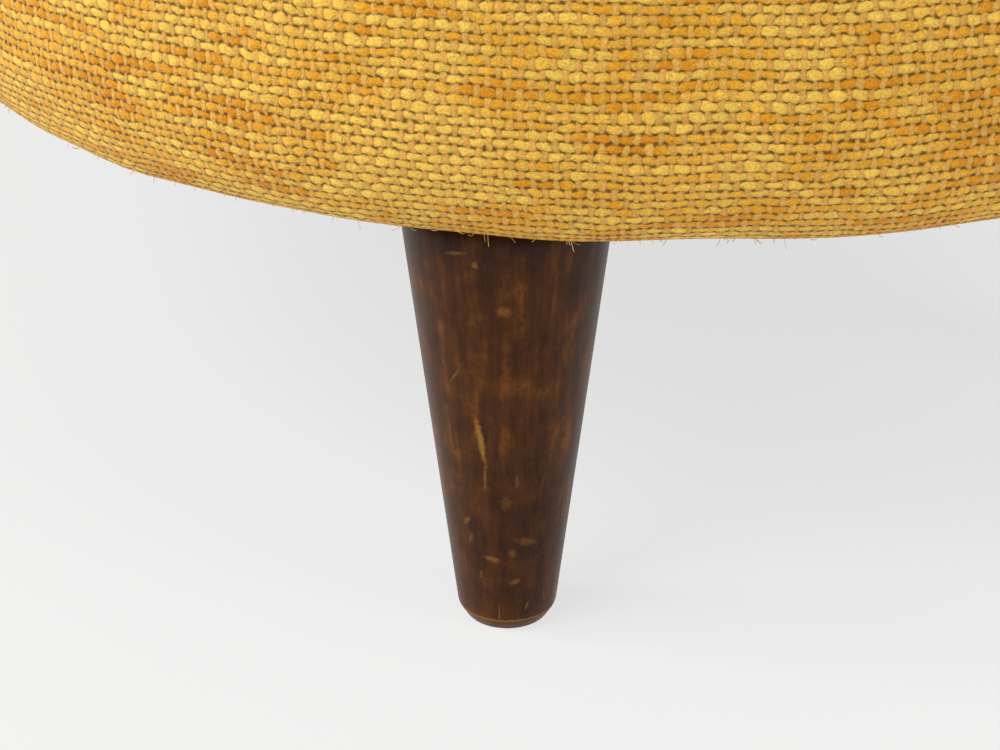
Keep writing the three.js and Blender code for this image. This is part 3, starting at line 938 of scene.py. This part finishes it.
@dataclass
class Base:
    """The upholstered base: its cover over the padded frame, and the dust cover under it."""

    cloth: bpy.types.Material
    round_across: float = 0.018
    round_height: float = 0.035
    turn_under: float = 0.044
    deck_border: float = 0.060
    column: float = 0.0042
    round_steps: int = 12
    wall_steps: int = 10
    belly: float = 0.0022
    seam_depth: float = 0.0016
    low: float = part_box("base_cover")[0][2]
    high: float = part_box("base_cover")[1][2]

    @property
    def seams(self) -> tuple[float, ...]:
        """The runs at which the border's strips are joined: the rear's centre and the four tangents."""
        rear, front, half = PLAN.rear_run, PLAN.front_run, PLAN.half_run
        return 0.0, rear, front, 2 * half - front, 2 * half - rear

    def profile(self) -> list[tuple[float, float]]:
        """The border's section from the turned-under edge to the deck, as inset and height."""
        steps = [math.pi / 2 * i / self.round_steps for i in range(self.round_steps + 1)]
        lower = [
            (self.round_across * (1 - math.sin(a)), self.low + self.round_height * (1 - math.cos(a)))
            for a in steps
        ]
        upper = [(inset, self.low + self.high - z) for inset, z in reversed(lower)]
        return [(self.turn_under, self.low), *lower, *upper, (self.deck_border, self.high)]

    def _step_in(self, section: Sequence[tuple[float, float]]) -> None:
        """Insets the one selected face through a section, from its first point to its last."""
        for (inset, z), (next_inset, next_z) in zip(section, section[1:]):
            bpy.ops.mesh.inset(thickness=next_inset - inset, depth=abs(next_z - z), use_even_offset=True)

    def _block(self) -> bpy.types.Object:
        """The cover's plain form: the wall, then its rolled edges stepped in above and below."""
        columns = round(2 * PLAN.half_run / self.column)
        runs = [2 * PLAN.half_run * i / columns for i in range(columns)]
        outline = Outline([PLAN.point(run) for run in runs])
        wall_low, wall_high = self.low + self.round_height, self.high - self.round_height
        cover = prism("border_cover", outline.points, wall_low, wall_high)
        section = self.profile()
        half = len(section) // 2
        rising, falling = section[half:], section[:half][::-1]
        open_on_faces(cover, lambda face: face.normal.z > 0.5)
        self._step_in(rising)
        end_edit()
        open_on_faces(cover, lambda face: face.normal.z < -0.5)
        self._step_in(falling)
        end_edit()
        start_edit(cover)
        for z in np.linspace(wall_low, wall_high, self.wall_steps + 1)[1:-1]:
            bpy.ops.mesh.select_all(action="SELECT")
            bpy.ops.mesh.bisect(plane_co=(0, 0, z), plane_no=(0, 0, 1))
        bpy.ops.mesh.select_all(action="SELECT")
        bpy.ops.mesh.normals_make_consistent(inside=False)
        end_edit()
        return cover

    def _map_weave(self, cover: bpy.types.Object) -> None:
        """Runs the weave round the border, and straight over the deck and the underside."""
        section = np.array(self.profile())
        fine = np.linspace(0, len(section) - 1, 40 * len(section))
        index = np.arange(len(section))
        dense = np.column_stack([np.interp(fine, index, section[:, k]) for k in (0, 1)])
        lengths = np.concatenate([[0], np.cumsum(np.hypot(*np.diff(dense, axis=0).T))])
        points = points_of(cover)
        runs, insets = PLAN.unroll(points[:, :2])
        gaps = (insets[:, None] - dense[:, 0]) ** 2 + (points[:, 2:] - dense[:, 1]) ** 2
        rises = lengths[np.argmin(gaps, axis=1)]
        total = 2 * PLAN.half_run
        mesh = cover.data
        weave = mesh.uv_layers.new(name=WEAVE_MAP)
        for face in mesh.polygons:
            corners = mesh.loops[face.loop_start : face.loop_start + face.loop_total]
            indices = [loop.vertex_index for loop in corners]
            flat = abs(face.normal.z) > 0.98 and insets[indices].min() > self.turn_under - 0.001
            face_runs = runs[indices]
            if np.ptp(face_runs) > total / 2:
                face_runs = np.where(face_runs < total / 2, face_runs + total, face_runs)
            for loop, run, rise, (x, y, _) in zip(corners, face_runs, rises[indices], points[indices]):
                weave.data[loop.index].uv = (x, y) if flat else (run, rise)

    def _pull_tight(self, cover: bpy.types.Object) -> None:
        """Gives the wall its belly and slight unevenness, and draws in the upright seams."""
        points, normals = points_of(cover), normals_of(cover)
        runs, _ = PLAN.unroll(points[:, :2])
        rise = (points[:, 2] - self.low) / (self.high - self.low)
        total = 2 * PLAN.half_run
        seam = np.zeros(len(points))
        for place in self.seams:
            gap = np.abs((runs - place + total / 2) % total - total / 2)
            seam = np.maximum(seam, np.exp(-((gap / 0.0035) ** 2)))
        around = np.column_stack([points[:, :2], points[:, 2] * 0.4])
        uneven = steady_noise(around, 0.11, 5) * 0.0005 + steady_noise(around, 0.035, 6) * 0.00022
        tacked = steady_noise(around, 0.045, 7) * 0.0005 * (1 - smooth_step(0.0, 0.25, rise))
        out = self.belly * np.sin(np.pi * np.clip(rise, 0, 1)) + uneven + tacked - seam * self.seam_depth
        place_points(cover, points + normals * out[:, None])

    def build(self) -> bpy.types.Object:
        """Makes the cover and gives it its cloth."""
        cover = self._block()
        self._map_weave(cover)
        self._pull_tight(cover)
        shade_smooth(cover)
        dress(cover, self.cloth)
        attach(cover, "frame")
        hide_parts("base_cover")
        log.info("%s: %d faces", cover.name, len(cover.data.polygons))
        return cover


# ---- The seat cushions ---------------------------------------------------------------------------


class Place(Enum):
    """Which of the three cushions one is: the side it lies on."""

    LEFT = -1
    CENTRE = 0
    RIGHT = 1


@dataclass
class SeatCushions:
    """Three loose seat cushions, cut to the crescent, with a straight seam round each panel."""

    cloth: bpy.types.Material
    stuffing: Stuffing = field(default_factory=Stuffing)
    edge_inset: float = 0.015
    divider_x: float = 0.268
    divider_splay: float = math.radians(8.5)
    divider_inset: float = 0.010
    back_half_angle: float = math.asin(0.816 / 1.440)
    back_front: float = 1.318
    back_lean: float = 133 / 458
    back_inset: float = 0.014
    seam_low: float = 0.013
    seam_high: float = 0.112
    clearance: float = 0.002
    deck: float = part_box("cushion_cover_right")[0][2]

    def _divider(self, across: float, y: float) -> float:
        """The x of the seam between two cushions at a y, moved by across."""
        return self.divider_x + (y - PLAN.end_y) * math.tan(self.divider_splay) + across / math.cos(self.divider_splay)

    def _arc(self, centre_y: float, radius: float, start: float, end: float) -> list[tuple[float, float]]:
        """Points on an arc about a centre on the middle line, between two angles from straight back."""
        count = max(2, round(abs(end - start) * radius / self.stuffing.spacing))
        angles = np.linspace(start, end, count + 1)
        return [(radius * math.sin(a), centre_y + radius * math.cos(a)) for a in angles]

    def _angle_at_divider(self, centre_y: float, radius: float, across: float) -> float:
        """The angle from straight back at which an arc meets a divider."""
        angle = 0.2
        for _ in range(30):
            y = centre_y + radius * math.cos(angle)
            angle = math.asin(self._divider(across, y) / radius)
        return angle

    def outline(self, place: Place) -> Outline:
        """The seam's outline of the centre cushion or the right one."""
        front_radius = PLAN.front_radius + self.edge_inset
        rear_radius = self.back_front - self.back_inset
        if place is Place.CENTRE:
            front = self._angle_at_divider(PLAN.front_y, front_radius, -self.divider_inset)
            rear = self._angle_at_divider(PLAN.rear_y, rear_radius, -self.divider_inset)
            return Outline(
                self._arc(PLAN.front_y, front_radius, -front, front)
                + self._arc(PLAN.rear_y, rear_radius, rear, -rear)
            )
        front = self._angle_at_divider(PLAN.front_y, front_radius, self.divider_inset)
        rear = self._angle_at_divider(PLAN.rear_y, rear_radius, self.divider_inset)
        ear = self.back_half_angle + self.back_inset / self.back_front
        spacing = self.stuffing.spacing
        ear_run, last_run = PLAN.rear_radius * ear, PLAN.front_run
        rim = [
            PLAN.point(run, self.edge_inset)
            for run in np.linspace(ear_run, last_run, round((last_run - ear_run) / spacing))
        ]
        return Outline(
            self._arc(PLAN.rear_y, rear_radius, rear, ear)
            + rim
            + self._arc(PLAN.front_y, front_radius, PLAN.front_half, front)[1:]
        )

    def _lean_back(self, cushion: bpy.types.Object) -> None:
        """Slopes the rear wall to follow the raked back."""
        points = points_of(cushion)
        angle, radius = PLAN.rear_polar(points)
        height = points[:, 2] - self.deck
        beside = np.abs(angle) <= self.back_half_angle + 0.001
        weight = smooth_step(self.back_front - 0.15, self.back_front - self.back_inset, radius) * beside
        grown = radius + weight * height * self.back_lean
        points[:, 0] = grown * np.sin(angle)
        points[:, 1] = PLAN.rear_y + grown * np.cos(angle)
        place_points(cushion, points)

    def _settle(self, cushion: bpy.types.Object, place: Place) -> None:
        """Flattens the cushion where it lies on the deck and against its neighbours."""
        points = points_of(cushion)
        floor_gap = self.seam_low - 0.0004
        below = self.deck + self.seam_low - points[:, 2]
        points[:, 2] = np.where(
            below > 0, self.deck + self.seam_low - held_back(below, floor_gap), points[:, 2]
        )
        room = self.divider_inset - self.clearance
        for side in (-1, 1):
            if place is Place.CENTRE:
                past = side * points[:, 0] - self._divider(-self.divider_inset, points[:, 1])
                shift = np.where(past > 0, held_back(past, room) - past, 0) * side
            elif side == 1:
                past = self._divider(self.divider_inset, points[:, 1]) - points[:, 0]
                shift = np.where(past > 0, past - held_back(past, room), 0)
            else:
                continue
            points[:, 0] += shift
        angle, radius = PLAN.rear_polar(points)
        height = points[:, 2] - self.deck
        seam = self.back_front - self.back_inset + height * self.back_lean
        past = radius - seam
        beside = (np.abs(angle) <= self.back_half_angle + 0.004) & (past > 0)
        kept = np.where(beside, seam + held_back(past, self.back_inset - self.clearance), radius)
        points[:, 0] = kept * np.sin(angle)
        points[:, 1] = PLAN.rear_y + kept * np.cos(angle)
        place_points(cushion, points)

    def _sew(self, place: Place, seed: int) -> bpy.types.Object:
        """Makes one cushion, stuffed and settled."""
        name = f"{place.name.lower()}_cushion"
        turn = -0.30 if place is Place.RIGHT else 0.0
        low, high = self.deck + self.seam_low, self.deck + self.seam_high
        cushion = self.stuffing.stitch(name, self.outline(place), low, high, turn, 3.0 + place.value)
        self._lean_back(cushion)
        self.stuffing.inflate(cushion)
        self._settle(cushion, place)
        self.stuffing.draw_seams(cushion, seed)
        self._settle(cushion, place)
        return cushion

    def _mirrored(self, cushion: bpy.types.Object, name: str) -> bpy.types.Object:
        """A copy of a cushion for the other side, with its own mesh."""
        select_only(cushion)
        bpy.ops.object.duplicate()
        copy = bpy.context.object
        copy.name = copy.data.name = name
        start_edit(copy)
        bpy.ops.transform.mirror(orient_type="GLOBAL", constraint_axis=(True, False, False), center_override=(0, 0, 0))
        bpy.ops.mesh.flip_normals()
        end_edit()
        return copy

    def build(self) -> list[bpy.types.Object]:
        """Makes the three cushions."""
        centre = self._sew(Place.CENTRE, 20)
        right = self._sew(Place.RIGHT, 30)
        left = self._mirrored(right, "left_cushion")
        for place, cushion in ((Place.LEFT, left), (Place.CENTRE, centre), (Place.RIGHT, right)):
            side = place.name.lower()
            dress(cushion, self.cloth)
            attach(cushion, f"{side}_cushion")
            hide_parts(f"cushion_cover_{side}", f"cushion_foam_{side}")
            log.info("%s: %d faces", cushion.name, len(cushion.data.polygons))
        return [left, centre, right]


# ---- The back ------------------------------------------------------------------------------------


@dataclass
class SofaBack:
    """The raked back: one stuffed form, sewn flat and bent round the rear arc."""

    cloth: bpy.types.Material
    stuffing: Stuffing = field(default_factory=lambda: Stuffing(spacing=0.012, reach=0.016, fill=0.8))
    half_angle: float = math.asin(0.816 / 1.440)
    radius: float = 1.440
    front_foot: float = 1.318
    front_top: float = 1.4513
    rear_foot: float = 1.434
    rear_top: float = 1.53135
    corner: float = 0.120
    seam_in: float = 0.010
    front_bulge: float = 0.016
    rear_bulge: float = 0.003
    low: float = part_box("back_cover")[0][2]
    high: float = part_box("back_cover")[1][2]

    def outline(self) -> Outline:
        """The form's outline laid flat: along the arc, and up the back."""
        half = self.radius * self.half_angle - self.seam_in
        height = self.high - self.low - self.seam_in
        steps = np.linspace(0, math.pi / 2, 14)
        right = [
            (half - self.corner * (1 - math.cos(a)), height - self.corner * (1 - math.sin(a))) for a in steps
        ]
        left = [(-x, y) for x, y in reversed(right)]
        return Outline([(-half, 0.004), (half, 0.004), *right, *left])

    def _bend(self, back: bpy.types.Object, thickness: float) -> None:
        """Wraps the flat form round the arc and leans it back."""
        points = points_of(back)
        across, up, depth = points[:, 0], points[:, 1], points[:, 2] / thickness
        share = up / (self.high - self.low)
        front = self.front_foot + (self.front_top - self.front_foot) * share
        rear = self.rear_foot + (self.rear_top - self.rear_foot) * share
        tuck = smooth_step(0.0, 0.16, up)
        swollen = np.where(depth > 1, (depth - 1) * thickness, 0)
        hollow = np.where(depth < 0, -depth * thickness, 0)
        radius = front + (rear - front) * np.clip(depth, 0, 1)
        radius += held_back(swollen, 0.009) - held_back(hollow, 0.024) * tuck
        angle = across / self.radius
        place_points(
            back,
            np.column_stack([radius * np.sin(angle), PLAN.rear_y + radius * np.cos(angle), self.low + up]),
        )

    def build(self) -> bpy.types.Object:
        """Makes the back and gives it its cloth."""
        thickness = self.rear_foot - self.front_foot
        back = self.stuffing.stitch("back_upholstery", self.outline(), 0.0, thickness, 0.0, 7.0)
        self.stuffing.inflate(back)
        points = points_of(back)
        points[:, 1] = np.where(points[:, 1] < 0.0006, 0.0006, points[:, 1])
        place_points(back, points)
        self._bend(back, thickness)
        self.stuffing.draw_seams(back, 40)
        dress(back, self.cloth)
        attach(back, "frame")
        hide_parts("back_cover", "back_foam")
        log.info("%s: %d faces", back.name, len(back.data.polygons))
        return back


# ---- The legs ------------------------------------------------------------------------------------


@dataclass
class TaperedLegs:
    """Six turned legs, each in its own stain with its own wear."""

    stain: StainedWood = field(default_factory=StainedWood)
    top_diameter: float = 0.064
    foot_diameter: float = 0.030
    chamfer_height: float = 0.0044
    chamfer_in: float = 0.0022
    sides: int = 128
    rings: int = 24

    WORN = (
        Mark(angle=-19.5, height=72, long=10, wide=1.15, lean=-7, strength=1.5),
        Mark(angle=-17.5, height=59, long=6, wide=0.55, lean=3, strength=0.75),
        Mark(angle=-17, height=131.5, long=1.3, wide=0.9, strength=0.8),
        Mark(angle=-28, height=134.5, long=0.7, wide=3.0, lean=-16, strength=0.6),
        Mark(angle=-2, height=117, long=2.1, wide=2.1, strength=0.62),
        Mark(angle=-36, height=93, long=4.0, wide=0.5, lean=30, strength=0.5),
        Mark(angle=8, height=58, long=3.6, wide=0.8, lean=-4, strength=0.42),
        Mark(angle=-1, height=50, long=3.0, wide=2.2, strength=0.30),
        Mark(angle=-38, height=41, long=2.6, wide=1.0, lean=40, strength=0.65),
        Mark(angle=-35, height=35, long=3.0, wide=1.2, lean=20, strength=0.4),
        Mark(angle=18, height=35, long=1.9, wide=4.6, lean=16, strength=0.42),
        Mark(angle=-15, height=28.5, long=1.1, wide=3.8, lean=10, strength=0.8),
        Mark(angle=5, height=31, long=1.6, wide=2.4, lean=24, strength=0.4),
        Mark(angle=8, height=20, long=1.3, wide=2.4, lean=-14, strength=0.6),
        Mark(angle=-27, height=22, long=1.8, wide=0.9, strength=0.5),
        Mark(angle=22, height=10, long=2.0, wide=0.6, lean=24, strength=0.7),
        Mark(angle=-9, height=7, long=5.0, wide=0.6, strength=0.5),
        Mark(angle=44, height=12, long=2.4, wide=0.6, lean=-18, strength=0.45),
    )

    def _marks(self, number: int) -> tuple[Mark, ...]:
        """The first leg's known wear, or seeded knocks for another."""
        if number == 0:
            return self.WORN
        rng = np.random.default_rng(60 + number)
        return tuple(
            Mark(
                angle=rng.uniform(-170, 170),
                height=rng.uniform(8, 125),
                long=rng.uniform(1.5, 7),
                wide=rng.uniform(1.0, 3.0),
                lean=rng.uniform(-40, 40),
                strength=rng.uniform(0.4, 0.9),
            )
            for _ in range(9)
        )

    def _turn_leg(self, node: str) -> bpy.types.Object:
        """Turns one leg: a cone, cut into rings, with a broken edge at its foot."""
        low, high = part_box(node)
        x, y = (low[0] + high[0]) / 2, (low[1] + high[1]) / 2
        bpy.ops.object.select_all(action="DESELECT")
        bpy.ops.mesh.primitive_cone_add(
            vertices=self.sides,
            radius1=self.foot_diameter / 2,
            radius2=self.top_diameter / 2,
            depth=high[2] - low[2],
            end_fill_type="NGON",
        )
        leg = bpy.context.object
        leg.name = leg.data.name = f"turned_{node}"
        start_edit(leg)
        bpy.ops.transform.translate(value=(x, y, (low[2] + high[2]) / 2))
        height = low[2] + self.chamfer_height
        bpy.ops.mesh.bisect(plane_co=(0, 0, height), plane_no=(0, 0, 1))
        end_edit()
        open_on_faces(leg, lambda face: face.normal.z < -0.9)
        shrink = 1 - 2 * self.chamfer_in / self.foot_diameter
        bpy.ops.transform.resize(value=(shrink, shrink, 1), center_override=(x, y, low[2]))
        end_edit()
        start_edit(leg)
        slice_at(np.linspace(height, high[2], self.rings + 1)[1:-1], axis=2)
        end_edit()
        for level, width in ((low[2], 0.0007), (height, 0.0009)):
            self._soften(leg, level, width)
        return leg

    @staticmethod
    def _soften(leg: bpy.types.Object, level: float, width: float) -> None:
        """Rounds the ring of edges at a height."""
        open_on_faces(leg, lambda face: False)
        bpy.ops.object.mode_set(mode="OBJECT")
        heights = points_of(leg)[:, 2]
        edges = leg.data.edges
        on_ring = [all(abs(heights[i] - level) < 1e-5 for i in edge.vertices) for edge in edges]
        bpy.ops.object.mode_set(mode="EDIT")
        bpy.ops.mesh.select_mode(type="EDGE")
        bpy.ops.mesh.select_all(action="DESELECT")
        bpy.ops.object.mode_set(mode="OBJECT")
        leg.data.edges.foreach_set("select", on_ring)
        bpy.ops.object.mode_set(mode="EDIT")
        bpy.ops.mesh.bevel(offset=width, segments=3, affect="EDGES")
        end_edit()

    def build(self) -> list[bpy.types.Object]:
        """Makes the six legs in place of the plain ones."""
        legs = []
        names = ("front_right", "rear_right", "front_left", "rear_left", "front_centre", "rear_centre")
        for number, name in enumerate(names):
            leg = self._turn_leg(f"leg_{name}")
            low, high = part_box(f"leg_{name}")
            x, y = (low[0] + high[0]) / 2, (low[1] + high[1]) / 2
            bearing = math.radians(HERO_BEARING) if number == 0 else math.atan2(y - PLAN.end_y, x)
            shade_smooth(leg)
            dress(leg, self.stain.material(f"stained_{name}", (x, y), bearing, self._marks(number)))
            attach(leg, "frame")
            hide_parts(f"leg_{name}")
            legs.append(leg)
        return legs


# ---- Loose fibres --------------------------------------------------------------------------------


@dataclass
class LooseFibres:
    """Short curled ends of yarn that stand out of the base's cover, thickest along its lower edge."""

    seed: int = 17
    edge_count: int = 2600
    face_count: int = 1500
    thickness: float = 0.00009
    joints: int = 5

    def _strand(self, rng: np.random.Generator, root: Vector, out: Vector, length: float) -> list[Vector]:
        """The points along one curled fibre, from its root outwards."""
        aim = (out + Vector(rng.normal(0, 0.75, 3))).normalized()
        curl = Vector(rng.normal(0, 0.62, 3))
        points, spot = [root - out * 0.0004], root.copy()
        for _ in range(self.joints - 1):
            aim = (aim + curl * 0.5).normalized()
            spot = spot + aim * (length / (self.joints - 1))
            points.append(spot.copy())
        return points

    def build(self, cover: bpy.types.Object) -> bpy.types.Object:
        """Plants the fibres on the cover."""
        rng = np.random.default_rng(self.seed)
        points, normals = points_of(cover), normals_of(cover)
        low = points[:, 2].min()
        rise = points[:, 2] - low
        _, insets = PLAN.unroll(points[:, :2])
        edge = np.flatnonzero((rise > 0.0008) & (rise < 0.022) & (insets < 0.020))
        face = np.flatnonzero((rise > 0.02) & (rise < 0.135))
        curve = bpy.data.curves.new("loose_fibres", "CURVE")
        curve.dimensions = "3D"
        curve.bevel_depth = self.thickness
        curve.bevel_resolution = 0
        curve.use_fill_caps = True
        for candidates, count, longest in ((edge, self.edge_count, 0.0034), (face, self.face_count, 0.0022)):
            for index in rng.choice(candidates, count):
                root = Vector(points[index]) + Vector(rng.normal(0, 0.0025, 3))
                out = Vector(normals[index])
                root -= out * (root - Vector(points[index])).dot(out)
                strand = self._strand(rng, root, out, longest * rng.uniform(0.35, 1.0) ** 1.6)
                spline = curve.splines.new("POLY")
                spline.points.add(len(strand) - 1)
                for point, spot in zip(spline.points, strand):
                    point.co = (*spot, 1.0)
        fibres = bpy.data.objects.new("loose_fibres", curve)
        bpy.context.collection.objects.link(fibres)
        select_only(fibres)
        bpy.ops.object.convert(target="MESH")
        dress(fibres, LooseFibre().material())
        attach(fibres, "frame")
        return fibres


# ---- The hidden frame ----------------------------------------------------------------------------


class HiddenFrame:
    """The modelled pieces under the cloth, which keep their shapes and get real finishes."""

    FINISHES: tuple[tuple[str, Callable[[], bpy.types.Material]], ...] = (
        ("base_plate", lambda: SawnWood(along=(4.0, 70.0, 70.0), ply_layers=0.0015).material("plywood")),
        ("rail_", lambda: SawnWood("#d8b98a", "#a9804d").material("rail_ply")),
        ("cross_rail", lambda: SawnWood(along=(60.0, 4.0, 60.0)).material("cross_rail_wood")),
        ("back_post", lambda: SawnWood(along=(60.0, 60.0, 4.0)).material("post_wood")),
        ("back_bottom_rail", lambda: SawnWood(along=(4.0, 40.0, 60.0)).material("bottom_rail_wood")),
        ("back_top_rail", lambda: SawnWood(along=(4.0, 40.0, 60.0)).material("top_rail_wood")),
        ("hanger_bolt", lambda: ZincPlate().material()),
        ("tee_nut", lambda: ZincPlate().material()),
        ("seat_strap", Sheeting.WEBBING.material),
        ("deck_hessian", Sheeting.HESSIAN.material),
        ("back_hessian", Sheeting.HESSIAN.material),
        ("deck_pad", Sheeting.COTTON_FELT.material),
        ("side_padding", Sheeting.COTTON_FELT.material),
        ("back_foam", Sheeting.FOAM.material),
        ("cushion_foam", Sheeting.FOAM.material),
        ("dust_cover", Sheeting.CAMBRIC.material),
    )

    def dress_all(self, cloth: bpy.types.Material) -> None:
        """Gives every modelled node its finish."""
        made: dict[str, bpy.types.Material] = {}
        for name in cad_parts:
            node = bpy.data.objects.get(name)
            if node is None:
                log.warning("no object for node %s", name)
                continue
            start = next((key for key, _ in self.FINISHES if name.startswith(key)), None)
            if start is None:
                dress(node, cloth)
                continue
            if start not in made:
                made[start] = dict(self.FINISHES)[start]()
            dress(node, made[start])


# ---- The studio ----------------------------------------------------------------------------------


@dataclass(frozen=True)
class SoftLight:
    """One large soft area light."""

    name: str
    place: tuple[float, float, float]
    aim: tuple[float, float, float]
    size: tuple[float, float]
    power: float
    tone: str = "#ffffff"

    def hang(self) -> None:
        """Adds the light, turned to its aim."""
        data = bpy.data.lights.new(self.name, "AREA")
        data.shape = "RECTANGLE"
        data.size, data.size_y = self.size
        data.energy = self.power
        data.color = linear(self.tone)[:3]
        light = bpy.data.objects.new(self.name, data)
        light.location = self.place
        light.rotation_euler = (Vector(self.aim) - Vector(self.place)).to_track_quat("-Z", "Y").to_euler()
        bpy.context.collection.objects.link(light)


@dataclass(frozen=True)
class Studio:
    """A pale floor, even white surroundings, a few soft lights, and the camera."""

    lens: float = 80.37
    bearing: float = HERO_BEARING
    distance: float = 0.6053
    height: float = 0.3828
    pitch: float = 26.376
    swing: float = 0.200
    roll: float = -0.133
    surroundings: float = 0.42
    floor_glow: float = 0.68
    floor_tone: str = "#828282"

    def _camera(self, target: tuple[float, float]) -> None:
        """Places the camera low and close, looking down on one leg."""
        bearing = math.radians(self.bearing)
        azimuth = bearing + math.pi + math.radians(self.swing)
        pitch, roll = math.radians(self.pitch), math.radians(self.roll)
        look = Vector(
            (math.cos(azimuth) * math.cos(pitch), math.sin(azimuth) * math.cos(pitch), -math.sin(pitch))
        )
        level = Vector((math.sin(azimuth), -math.cos(azimuth), 0.0))
        above = level.cross(look)
        right = level * math.cos(roll) + above * math.sin(roll)
        up = above * math.cos(roll) - level * math.sin(roll)
        data = bpy.data.cameras.new("camera")
        data.sensor_width = 36.0
        data.lens = self.lens
        data.clip_start, data.clip_end = 0.02, 60.0
        camera = bpy.data.objects.new("camera", data)
        turn = Matrix((right, up, -look)).transposed().to_4x4()
        place = Vector(
            (
                target[0] + self.distance * math.cos(bearing),
                target[1] + self.distance * math.sin(bearing),
                self.height,
            )
        )
        camera.matrix_world = Matrix.Translation(place) @ turn
        bpy.context.collection.objects.link(camera)
        bpy.context.scene.camera = camera

    def _floor(self) -> None:
        """Lays the floor, pale and faintly lit from below."""
        bpy.ops.object.select_all(action="DESELECT")
        bpy.ops.mesh.primitive_grid_add(x_subdivisions=8, y_subdivisions=8, size=30, location=(0, 0, 0))
        floor = bpy.context.object
        floor.name = "studio_floor"
        r = Recipe("pale_floor")
        r.set(Emission_Strength=self.floor_glow, Specular_IOR_Level=0.1)
        r.shader.inputs["Emission Color"].default_value = linear("#ffffff")
        dress(floor, r.finish(self.floor_tone, 0.9, r.swell(r.place(), 40.0, 1.0), 0.00005))

    def _surround(self) -> None:
        """Makes the surroundings an even white."""
        scene = bpy.context.scene
        world = bpy.data.worlds.new("studio")
        world.use_nodes = True
        background = world.node_tree.nodes["Background"]
        background.inputs["Color"].default_value = (1, 1, 1, 1)
        background.inputs["Strength"].default_value = self.surroundings
        scene.world = world
        scene.view_settings.view_transform = "Standard"
        scene.view_settings.look = "None"

    def build(self) -> None:
        """Sets up the whole studio."""
        low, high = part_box("leg_front_right")
        self._camera(((low[0] + high[0]) / 2, (low[1] + high[1]) / 2))
        self._floor()
        self._surround()
        for light in (
            SoftLight("key", (1.1, -3.2, 2.9), (0.5, -0.3, 0.3), (2.6, 1.8), 78.0),
            SoftLight("side", (-0.9, -2.6, 1.2), (0.9, -0.3, 0.2), (0.7, 1.6), 40.0),
            SoftLight("far", (3.6, 0.9, 1.9), (0.6, 0.0, 0.3), (1.6, 1.6), 25.0),
            SoftLight("rear", (-1.2, 3.6, 2.8), (0.0, 0.2, 0.4), (2.6, 1.8), 70.0),
        ):
            light.hang()


# ---- The whole -----------------------------------------------------------------------------------


def main() -> None:
    """Builds everything that is seen."""
    logging.basicConfig(level=logging.INFO, format="%(name)s: %(message)s")
    cloth = Tweed().material()
    HiddenFrame().dress_all(cloth)
    base = Base(cloth).build()
    LooseFibres().build(base)
    SeatCushions(cloth).build()
    SofaBack(cloth).build()
    TaperedLegs().build()
    Studio().build()


if __name__ == "__main__":
    main()
